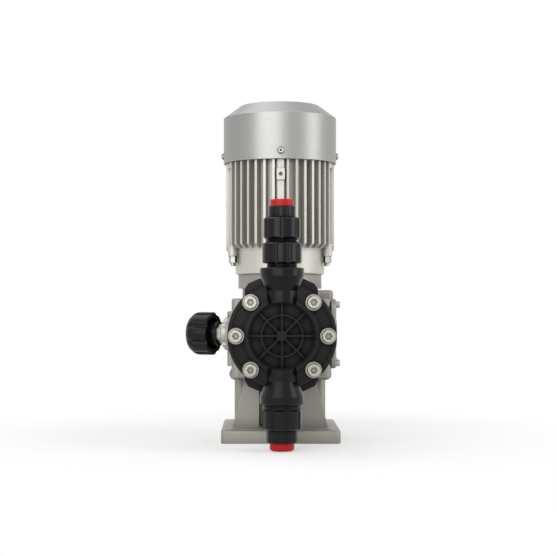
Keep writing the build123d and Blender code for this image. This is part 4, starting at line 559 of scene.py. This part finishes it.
def grown(base, tree, values, name, body):
    """Runs a tree on a base mesh and keeps the result as one plain mesh that rides a body."""
    modifier = base.modifiers.new(tree.name, "NODES")
    modifier.node_group = tree
    for item in tree.interface.items_tree:
        if item.in_out == "INPUT" and item.name in values:
            modifier[item.identifier] = values[item.name]
    depsgraph = bpy.context.evaluated_depsgraph_get()
    mesh = bpy.data.meshes.new_from_object(base.evaluated_get(depsgraph))
    mesh.name = name
    bpy.data.objects.remove(base)
    piece = new_object(name, mesh)
    if not mesh.polygons:
        raise RuntimeError(f"{name} came out empty")
    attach(piece, body)
    return piece


def placed_points(name, places, outward):
    """Loose points that carry the direction in which each screw's head looks."""
    base = mesh_object(name, places, [], smooth=False)
    aims = base.data.attributes.new("outward", "FLOAT_VECTOR", "POINT")
    for slot, aim in zip(aims.data, outward):
        slot.vector = aim
    return base


def lathed(name, profile, placing, lobe=None):
    """Turns a profile of (radius, height) round Z; a lobe function may change each radius."""
    vertices, faces, rings = [], [], []
    for radius, height in profile:
        if radius == 0:
            rings.append([len(vertices)] * LATHE_SIDES)
            vertices.append(placing @ Vector((0, 0, height)))
            continue
        rings.append(list(range(len(vertices), len(vertices) + LATHE_SIDES)))
        for n in range(LATHE_SIDES):
            angle = 2 * math.pi * n / LATHE_SIDES
            reach = lobe(radius, height, angle) if lobe else radius
            vertices.append(placing @ Vector((
                reach * math.cos(angle), reach * math.sin(angle), height)))
    pairs = list(zip(rings, rings[1:]))
    if profile[0][0] > 0:
        pairs.append((rings[-1], rings[0]))
    for low, high in pairs:
        for n in range(LATHE_SIDES):
            m = (n + 1) % LATHE_SIDES
            corners = [low[n], low[m], high[m], high[n]]
            faces.append(list(dict.fromkeys(corners)))
    made = mesh_object(name, vertices, faces)
    shape = bmesh.new()
    shape.from_mesh(made.data)
    bmesh.ops.recalc_face_normals(shape, faces=shape.faces)
    shape.to_mesh(made.data)
    shape.free()
    made.data.shade_smooth()
    made.data.set_sharp_from_angle(angle=SHARP_ANGLE)
    return made


# ------------------------------------------------------------------ screws

# The forms of the three kinds of screw. A crown starts at a share of the head's height above
# its middle and falls off by its depth towards the top.
KNURLED_HEAD = {
    "knurl_depth": 0.25 * MM, "crown_start": 0.33, "crown_depth": 0.8 * MM,
    "socket_radius": 3.7 * MM, "shank_radius": 4 * MM,
}
BUTTON_HEAD = {
    "knurls": 24, "knurl_depth": 0.0, "crown_start": -0.4, "crown_depth": 1.5 * MM,
    "socket_radius": 1.5 * MM, "shank_radius": 2 * MM, "shank_length": 6 * MM,
}
CAP_HEAD = {
    "head_radius": 3.5 * MM, "head_height": 4 * MM, "knurls": 24, "knurl_depth": 0.18 * MM,
    "crown_start": 0.3, "crown_depth": 0.5 * MM, "socket_radius": 1.9 * MM,
    "shank_radius": 2 * MM,
}
HEAD_LEVELS = 12            # rings of a head's side, which give its crown its curve
CROWN_BEGUN = 0.01          # share of the crown above which the knurls stop
SHANK_SIDES = 24
SHANK_DROP = -0.49          # share of the shank's length; its last hundredth is in the head
SOCKET_REACH = 1.5          # height of the socket's cutter, in heads

SCREW_INPUTS = (
    ("Points", "NodeSocketGeometry"), ("Head Radius", "NodeSocketFloat"),
    ("Head Height", "NodeSocketFloat"), ("Knurls", "NodeSocketInt"),
    ("Knurl Depth", "NodeSocketFloat"), ("Crown Start", "NodeSocketFloat"),
    ("Crown Depth", "NodeSocketFloat"), ("Socket Radius", "NodeSocketFloat"),
    ("Shank Radius", "NodeSocketFloat"), ("Shank Length", "NodeSocketFloat"),
    ("Finish", "NodeSocketMaterial"),
)


def screw_tree():
    """Socket screws on the points given, their heads knurled below a crown."""
    tree, source, output = start_tree("socket_screws", SCREW_INPUTS)
    twice = add(tree, "ShaderNodeMath", {0: (source, "Knurls"), 1: 2.0}, operation="MULTIPLY")
    head = add(tree, "GeometryNodeMeshCylinder", {
        "Vertices": (twice, 0), "Side Segments": HEAD_LEVELS, "Radius": (source, "Head Radius"),
        "Depth": (source, "Head Height"),
    })
    index = add(tree, "GeometryNodeInputIndex")
    parity = add(tree, "ShaderNodeMath", {0: (index, 0), 1: 2.0}, operation="FLOORED_MODULO")
    dent = add(tree, "ShaderNodeMath", {0: (parity, 0), 1: (source, "Knurl Depth")},
               operation="MULTIPLY")
    position = add(tree, "GeometryNodeInputPosition")
    parts = add(tree, "ShaderNodeSeparateXYZ", {0: (position, 0)})
    share = add(tree, "ShaderNodeMath", {0: (parts, "Z"), 1: (source, "Head Height")},
                operation="DIVIDE")
    crown = add(tree, "ShaderNodeMapRange", {
        "Value": (share, 0), "From Min": (source, "Crown Start"), "From Max": 0.5,
    })
    curve = add(tree, "ShaderNodeMath", {0: (crown, 0), 1: 2.0}, operation="POWER")
    above = add(tree, "ShaderNodeMath", {0: (curve, 0), 1: (source, "Crown Depth")},
                operation="MULTIPLY")
    middle = add(tree, "ShaderNodeMath", {0: (crown, 0), 1: CROWN_BEGUN},
                 operation="LESS_THAN")
    dented = add(tree, "ShaderNodeMath", {0: (dent, 0), 1: (middle, 0)}, operation="MULTIPLY")
    inward = add(tree, "ShaderNodeMath", {0: (dented, 0), 1: (above, 0)}, operation="ADD")
    negative = add(tree, "ShaderNodeMath", {0: (inward, 0), 1: -1.0}, operation="MULTIPLY")
    flat = add(tree, "ShaderNodeCombineXYZ", {"X": (parts, "X"), "Y": (parts, "Y")})
    radial = add(tree, "ShaderNodeVectorMath", {0: (flat, 0)}, operation="NORMALIZE")
    shift = add(tree, "ShaderNodeVectorMath", {0: (radial, 0), "Scale": (negative, 0)},
                operation="SCALE")
    shaped = add(tree, "GeometryNodeSetPosition", {
        "Geometry": (head, "Mesh"), "Offset": (shift, 0),
    })
    deep = add(tree, "ShaderNodeMath", {0: (source, "Head Height"), 1: SOCKET_REACH},
               operation="MULTIPLY")
    socket = add(tree, "GeometryNodeMeshCylinder", {
        "Vertices": 6, "Radius": (source, "Socket Radius"), "Depth": (deep, 0),
    })
    half = add(tree, "ShaderNodeMath", {0: (source, "Head Height"), 1: 0.5},
               operation="MULTIPLY")
    lifted = add(tree, "ShaderNodeCombineXYZ", {"Z": (half, 0)})
    raised = add(tree, "GeometryNodeTransform", {
        "Geometry": (socket, "Mesh"), "Translation": (lifted, 0),
    })
    bored = add(tree, "GeometryNodeMeshBoolean", {"Mesh 1": (shaped, 0)}, operation="DIFFERENCE")
    tree.links.new(raised.outputs[0], bored.inputs["Mesh 2"])
    seated = add(tree, "GeometryNodeTransform", {
        "Geometry": (bored, "Mesh"), "Translation": (lifted, 0),
    })
    shank = add(tree, "GeometryNodeMeshCylinder", {
        "Vertices": SHANK_SIDES, "Radius": (source, "Shank Radius"),
        "Depth": (source, "Shank Length"),
    })
    down = add(tree, "ShaderNodeMath", {0: (source, "Shank Length"), 1: SHANK_DROP},
               operation="MULTIPLY")
    lower = add(tree, "ShaderNodeCombineXYZ", {"Z": (down, 0)})
    lowered = add(tree, "GeometryNodeTransform", {
        "Geometry": (shank, "Mesh"), "Translation": (lower, 0),
    })
    screw = add(tree, "GeometryNodeJoinGeometry")
    tree.links.new(seated.outputs[0], screw.inputs[0])
    tree.links.new(lowered.outputs[0], screw.inputs[0])
    outward = add(tree, "GeometryNodeInputNamedAttribute", {"Name": "outward"},
                  data_type="FLOAT_VECTOR")
    aimed = add(tree, "FunctionNodeAlignRotationToVector", {"Vector": (outward, 0)}, axis="Z")
    placed = add(tree, "GeometryNodeInstanceOnPoints", {
        "Points": (source, "Points"), "Instance": (screw, 0), "Rotation": (aimed, 0),
    })
    real = add(tree, "GeometryNodeRealizeInstances", {"Geometry": (placed, 0)})
    painted = add(tree, "GeometryNodeSetMaterial", {
        "Geometry": (real, 0), "Material": (source, "Finish"),
    })
    tree.links.new(painted.outputs[0], output.inputs[0])
    return tree


def screws(node, name, places, outward, **sizes):
    """Screws that stand for a node of plainer ones."""
    labels = {label.lower().replace(" ", "_"): label for label, _ in SCREW_INPUTS}
    values = {labels[key]: value for key, value in sizes.items()}
    values["Finish"] = finish("turned_stainless_steel")
    base = placed_points(name + "_seats", places, outward)
    piece = grown(base, screw_tree(), values, name, "housing_body")
    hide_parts(node)


class PUMP_OT_head_screws(bpy.types.Operator):
    """Six knurled socket-head screws that clamp the pump head."""

    bl_idname = "pump.head_screws"
    bl_label = "Head screws"

    def execute(self, context):
        sizes = context.scene.pump_sizes
        seat = HEAD_WASHERS[0].y
        washer = sizes.washer / 2
        circle = (HEAD_WASHERS[1].x - HEAD_WASHERS[0].x) / 2 - washer
        rise = (HEAD_WASHERS[1].z - HEAD_WASHERS[0].z) / 2 - washer
        reach = math.sqrt(circle ** 2 - rise ** 2)
        places = [(x, 0.0) for x in (-circle, circle)]
        places += [(x, z) for x in (-reach, reach) for z in (-rise, rise)]
        screws(
            "head_screws", "knurled_head_screws",
            [(x, seat, SHAFT_Z + z) for x, z in places], [(0, -1, 0)] * len(places),
            head_radius=sizes.screw_head, head_height=seat - HEAD_SCREWS[0].y,
            knurls=sizes.screw_knurls, shank_length=HEAD_SCREWS[1].y - seat, **KNURLED_HEAD,
        )
        return {"FINISHED"}


class PUMP_OT_small_screws(bpy.types.Operator):
    """Button-head screws of the fan cowl and cap screws of the side cover."""

    bl_idname = "pump.small_screws"
    bl_label = "Small screws"

    def execute(self, context):
        low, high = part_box("cowl_screws")
        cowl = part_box("fan_cowl")[1].x
        sides = ((1, 0), (0, 1), (-1, 0), (0, -1))
        middle = (low.z + high.z) / 2
        screws(
            "cowl_screws", "cowl_button_screws",
            [(cowl * x, cowl * y, middle) for x, y in sides], [(x, y, 0) for x, y in sides],
            head_radius=(high.z - low.z) / 2, head_height=high.x - cowl, **BUTTON_HEAD,
        )
        low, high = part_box("side_cover_screws")
        edge = CAP_HEAD["head_radius"]
        seat = high.x - CAP_HEAD["head_height"]
        corners = [(y, z) for y in (low.y + edge, high.y - edge)
                   for z in (low.z + edge, high.z - edge)]
        screws(
            "side_cover_screws", "side_cover_cap_screws",
            [(seat, y, z) for y, z in corners], [(1, 0, 0)] * len(corners),
            shank_length=seat - low.x, **CAP_HEAD,
        )
        return {"FINISHED"}


# ------------------------------------------------------------------ threads of the unions

RING_SIDES = 96             # sides of a ridge round the body
RIDGE_SIDES = 8             # sides of a ridge's own round section
RIDGE_SHARE = 0.3           # radius of that section, as a share of the pitch


def thread_tree():
    """A stack of rounded ridges round Z, from the origin upwards."""
    tree, source, output = start_tree("thread_ridges", (
        ("Points", "NodeSocketGeometry"), ("Radius", "NodeSocketFloat"),
        ("Ridge", "NodeSocketFloat"), ("Finish", "NodeSocketMaterial"),
    ))
    ring = add(tree, "GeometryNodeCurvePrimitiveCircle", {
        "Resolution": RING_SIDES, "Radius": (source, "Radius"),
    }, mode="RADIUS")
    section = add(tree, "GeometryNodeCurvePrimitiveCircle", {
        "Resolution": RIDGE_SIDES, "Radius": (source, "Ridge"),
    }, mode="RADIUS")
    ridge = add(tree, "GeometryNodeCurveToMesh", {
        "Curve": (ring, "Curve"), "Profile Curve": (section, "Curve"),
    })
    placed = add(tree, "GeometryNodeInstanceOnPoints", {
        "Points": (source, "Points"), "Instance": (ridge, 0),
    })
    real = add(tree, "GeometryNodeRealizeInstances", {"Geometry": (placed, 0)})
    painted = add(tree, "GeometryNodeSetMaterial", {
        "Geometry": (real, 0), "Material": (source, "Finish"),
    })
    tree.links.new(painted.outputs[0], output.inputs[0])
    return tree


class PUMP_OT_threads(bpy.types.Operator):
    """Thread crests that show in the gaps beside the union nuts."""

    bl_idname = "pump.threads"
    bl_label = "Union threads"

    def execute(self, context):
        sizes = context.scene.pump_sizes
        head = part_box("pump_head")
        gaps = (
            ("suction_thread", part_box("suction_nut")[1].z, head[0].z, "suction_body"),
            ("neck_thread", head[1].z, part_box("discharge_lower_nut")[0].z, "discharge_body"),
            ("cage_thread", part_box("discharge_lower_nut")[1].z,
             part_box("discharge_upper_nut")[0].z, "discharge_cage"),
        )
        for name, low, high, carrier in gaps:
            turns = max(1, round((high - low) / sizes.thread_pitch))
            step = (high - low) / turns
            base = placed_points(name + "_crests", [
                (0.0, VALVE_Y, low + step * (n + 0.5)) for n in range(turns)
            ], [(0, 0, 1)] * turns)
            grown(base, thread_tree(), {
                "Radius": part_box(carrier)[1].x - sizes.thread_sink,
                "Ridge": step * RIDGE_SHARE,
                "Finish": finish("moulded_union_polypropylene"),
            }, name, "housing_body")
        return {"FINISHED"}


# ------------------------------------------------------------------ knob and cowl rim

DOME_STEPS = 12
GRIP_SHARES = (0.0, 0.2, 0.4, 0.6)  # where the grip's side has rings, between edge and dome
# The rings in the knob's inner face: how deep it lies beside the hollow, then for each step
# its radius and the depth beyond it.
FACE_DEPTH = 2.0 * MM
FACE_STEPS = ((17.9 * MM, 0.7 * MM), (18.8 * MM, 1.9 * MM), (20.2 * MM, 0.3 * MM))
# the rounded inner edge, as radius and depth, and the depth at which it meets the grip
INNER_EDGE = ((20.8 * MM, 0.0), (21.8 * MM, 0.0), (22.6 * MM, 0.5 * MM))
GRIP_START = 1.5 * MM
HEM_SIDES = 12


def knob_axis():
    """The knob's frame: Z along the adjuster outwards, the origin at the joint's point."""
    joint = next(j for j in frame["joints"] if j["name"] == "knob_turn")
    along = Vector(joint["axis"])
    up = Vector((0, 0, 1))
    turned = Matrix((up, along.cross(up), along)).transposed()
    return Matrix.Translation(Vector(joint["pos_m"])) @ turned.to_4x4()


def knob_profile(knob):
    """The knob's (radius, height) outline, from the spindle's bore round to the cap's seat."""
    inner, outer = knob.inner_face, knob.outer_end
    profile = [
        (0, knob.bore_end), (knob.bore, knob.bore_end), (knob.bore, knob.hollow_floor),
        (knob.hollow, knob.hollow_floor), (knob.hollow, inner + FACE_DEPTH),
    ]
    depth = FACE_DEPTH
    for reach, beyond in FACE_STEPS:
        profile += [(reach, inner + depth), (reach, inner + beyond)]
        depth = beyond
    profile += [(reach, inner + depth) for reach, depth in INNER_EDGE]
    # the first ring of the grip lies on this one, so that the edge is shaded crisp
    profile.append((knob.radius, inner + GRIP_START))
    profile += [
        (knob.radius, inner + GRIP_START + (outer - knob.crown - inner) * share)
        for share in GRIP_SHARES
    ]
    for n in range(DOME_STEPS + 1):
        angle = math.pi / 2 * n / DOME_STEPS
        profile.append((
            knob.radius - knob.crown * (1 - math.cos(angle)),
            outer - knob.crown * (1 - math.sin(angle)),
        ))
    seat = outer - knob.cap_depth
    return profile + [(knob.cap_seat, outer), (knob.cap_seat, seat), (0, seat)]


class PUMP_OT_knob(bpy.types.Operator):
    """Stroke knob with soft lobes, a domed end and rings in its hollow inner face."""

    bl_idname = "pump.knob"
    bl_label = "Stroke knob"

    def execute(self, context):
        knob = context.scene.pump_knob
        step = 2 * math.pi / knob.lobes
        rings_end = FACE_STEPS[-1][0]

        def lobe(reach, height, angle):
            if reach <= rings_end and height < 0:
                return reach
            away = abs(angle % step - step / 2)
            notch = math.exp(-(away * knob.radius / knob.groove_width) ** 2)
            fade = (knob.outer_end - knob.groove_runout - height) / knob.crown
            depth = knob.groove_depth * notch * min(1.0, max(0.0, fade))
            return max(reach - depth, knob.groove_floor if height < 0 else 0.0)

        piece = lathed("lobed_stroke_knob", knob_profile(knob), knob_axis(), lobe)
        piece.data.materials.append(finish("moulded_polyamide_grip"))
        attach(piece, "knob")
        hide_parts("adjusting_knob")
        return {"FINISHED"}


class PUMP_OT_cowl_rim(bpy.types.Operator):
    """Rolled hem round the lower edge of the fan cowl."""

    bl_idname = "pump.cowl_rim"
    bl_label = "Cowl rim"

    def execute(self, context):
        low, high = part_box("fan_cowl")
        wire = context.scene.pump_sizes.hem
        middle = high.x - wire
        turns = [2 * math.pi * n / HEM_SIDES for n in range(HEM_SIDES)]
        profile = [(
            middle + wire * math.cos(turn), low.z + wire + wire * math.sin(turn),
        ) for turn in turns]
        piece = lathed("cowl_rolled_hem", profile, Matrix.Identity(4))
        piece.data.materials.append(finish("satin_sheet_steel"))
        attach(piece, "housing_body")
        return {"FINISHED"}


# ------------------------------------------------------------------ stage

FLOOR_HALF = 4.0
FADE_START, FADE_END = 0.16, 0.42   # distances at which the floor starts and ends to fade
FLOOR_LIFT = 0.38           # light added to the seen floor, so that it is nearly white
SENSOR_WIDTH = 36.0
# each soft box: name, place, width, height, and the setting that holds its brightness
SOFT_BOXES = (
    ("left_key", (-0.72, -1.76, 0.75), 1.85, 1.25, "key"),
    ("right_side", (1.58, -0.6, 0.7), 0.8, 1.3, "rim"),
    ("overhead", (-0.35, 0.4, 1.6), 0.9, 0.9, "top"),
)


def seen_rays(tree):
    """1 for the rays that show the surround: to the camera, by reflection or through glass."""
    path = add(tree, "ShaderNodeLightPath")
    seen = add(tree, "ShaderNodeMath", {
        0: (path, "Is Camera Ray"), 1: (path, "Is Glossy Ray"),
    }, operation="MAXIMUM")
    return add(tree, "ShaderNodeMath", {0: (seen, 0), 1: (path, "Is Transmission Ray")},
               operation="MAXIMUM")


def floor_material():
    """White studio floor that keeps the pump's shadow and fades into the white surround."""
    made = bpy.data.materials.new("matt_white_studio_floor")
    made.use_nodes = True
    tree = made.node_tree
    tree.nodes.clear()
    coords = add(tree, "ShaderNodeTexCoord")
    spread = add(tree, "ShaderNodeVectorMath", {0: (coords, "Object")}, operation="LENGTH")
    fade = add(tree, "ShaderNodeMapRange", {
        "Value": (spread, "Value"), "From Min": FADE_START, "From Max": FADE_END,
    }, interpolation_type="SMOOTHSTEP")
    matt = add(tree, "ShaderNodeBsdfDiffuse", {"Color": linear("#f4f4f4")})
    glow = add(tree, "ShaderNodeEmission", {"Color": WHITE, "Strength": 1.0})
    lift = add(tree, "ShaderNodeEmission", {"Color": WHITE, "Strength": FLOOR_LIFT})
    seen = seen_rays(tree)
    lifted = add(tree, "ShaderNodeAddShader")
    tree.links.new(matt.outputs[0], lifted.inputs[0])
    tree.links.new(lift.outputs[0], lifted.inputs[1])
    near = add(tree, "ShaderNodeMixShader", {0: (seen, 0)})
    tree.links.new(matt.outputs[0], near.inputs[1])
    tree.links.new(lifted.outputs[0], near.inputs[2])
    amount = add(tree, "ShaderNodeMath", {0: (seen, 0), 1: (fade, "Result")},
                 operation="MULTIPLY")
    whole = add(tree, "ShaderNodeMixShader", {0: (amount, 0)})
    tree.links.new(near.outputs[0], whole.inputs[1])
    tree.links.new(glow.outputs[0], whole.inputs[2])
    add(tree, "ShaderNodeOutputMaterial", {"Surface": (whole, 0)})
    return made


def white_world(strength):
    """Even light of the given strength, seen as white."""
    world = bpy.data.worlds.new("white_surround")
    bpy.context.scene.world = world
    world.use_nodes = True
    tree = world.node_tree
    tree.nodes.clear()
    power = add(tree, "ShaderNodeMapRange", {
        "Value": (seen_rays(tree), 0), "To Min": strength, "To Max": 1.0,
    })
    light = add(tree, "ShaderNodeBackground", {"Color": WHITE, "Strength": (power, "Result")})
    add(tree, "ShaderNodeOutputWorld", {"Surface": (light, 0)})


def soft_box(name, place, width, height, brightness):
    """An area lamp whose face looks at the pump and shines with the given radiance."""
    data = bpy.data.lights.new(name, "AREA")
    data.shape = "RECTANGLE"
    data.size = width
    data.size_y = height
    data.energy = brightness * math.pi * width * height
    lamp = bpy.data.objects.new(name, data)
    lamp.location = place
    target = Vector((0.0, 0.0, (CAD_BOX[0].z + CAD_BOX[1].z) / 2))
    lamp.rotation_euler = (target - Vector(place)).to_track_quat("-Z", "Y").to_euler()
    bpy.context.scene.collection.objects.link(lamp)


class PUMP_OT_stage(bpy.types.Operator):
    """Floor, white surround, soft boxes and the camera."""

    bl_idname = "pump.stage"
    bl_label = "Stage"

    def execute(self, context):
        studio = context.scene.pump_studio
        floor = mesh_object("studio_floor", [
            (FLOOR_HALF * x, FLOOR_HALF * y, 0) for x, y in ((-1, -1), (1, -1), (1, 1), (-1, 1))
        ], [(0, 1, 2, 3)], smooth=False)
        floor.data.materials.append(floor_material())
        white_world(studio.ambient)
        for name, place, width, height, setting in SOFT_BOXES:
            soft_box(name, place, width, height, getattr(studio, setting))
        data = bpy.data.cameras.new("camera")
        data.sensor_width = SENSOR_WIDTH
        data.sensor_fit = "HORIZONTAL"
        data.lens = studio.lens
        data.shift_x = studio.shift_x
        data.shift_y = studio.shift_y
        camera = bpy.data.objects.new("camera", data)
        camera.location = (-studio.aside, -studio.distance, studio.height)
        camera.rotation_euler = (math.radians(90), 0.0, 0.0)
        context.scene.collection.objects.link(camera)
        context.scene.camera = camera
        context.scene.view_settings.view_transform = "Standard"
        return {"FINISHED"}


class PUMP_PT_panel(bpy.types.Panel):
    """Lists the pump's settings, and its operators in the order in which they run."""

    bl_idname = "PUMP_PT_panel"
    bl_label = "Metering pump"
    bl_space_type = "VIEW_3D"
    bl_region_type = "UI"
    bl_category = "Pump"

    def draw(self, context):
        for name, group in SETTINGS.items():
            box = self.layout.box()
            box.label(text=name.replace("_", " ").capitalize())
            for key in group.__annotations__:
                box.prop(getattr(context.scene, name), key)
        for operator in OPERATORS:
            self.layout.operator(operator.bl_idname)


SETTINGS = {
    "pump_finishes": PumpFinishes, "pump_sizes": PumpSizes, "pump_knob": PumpKnob,
    "pump_studio": PumpStudio,
}
OPERATORS = (
    PUMP_OT_finishes, PUMP_OT_head_screws, PUMP_OT_small_screws, PUMP_OT_threads, PUMP_OT_knob,
    PUMP_OT_cowl_rim, PUMP_OT_stage,
)
CLASSES = (*SETTINGS.values(), *OPERATORS, PUMP_PT_panel)


def register():
    """Registers the classes and hangs the settings on the scene."""
    for each in CLASSES:
        bpy.utils.register_class(each)
    for name, group in SETTINGS.items():
        setattr(bpy.types.Scene, name, PointerProperty(type=group))


def unregister():
    """Takes the settings and the classes away again."""
    for name in SETTINGS:
        delattr(bpy.types.Scene, name)
    for each in reversed(CLASSES):
        bpy.utils.unregister_class(each)


def main():
    """Registers the add-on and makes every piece."""
    register()
    for operator in OPERATORS:
        getattr(bpy.ops.pump, operator.bl_idname.split(".")[1])()


if __name__ == "__main__":
    main()
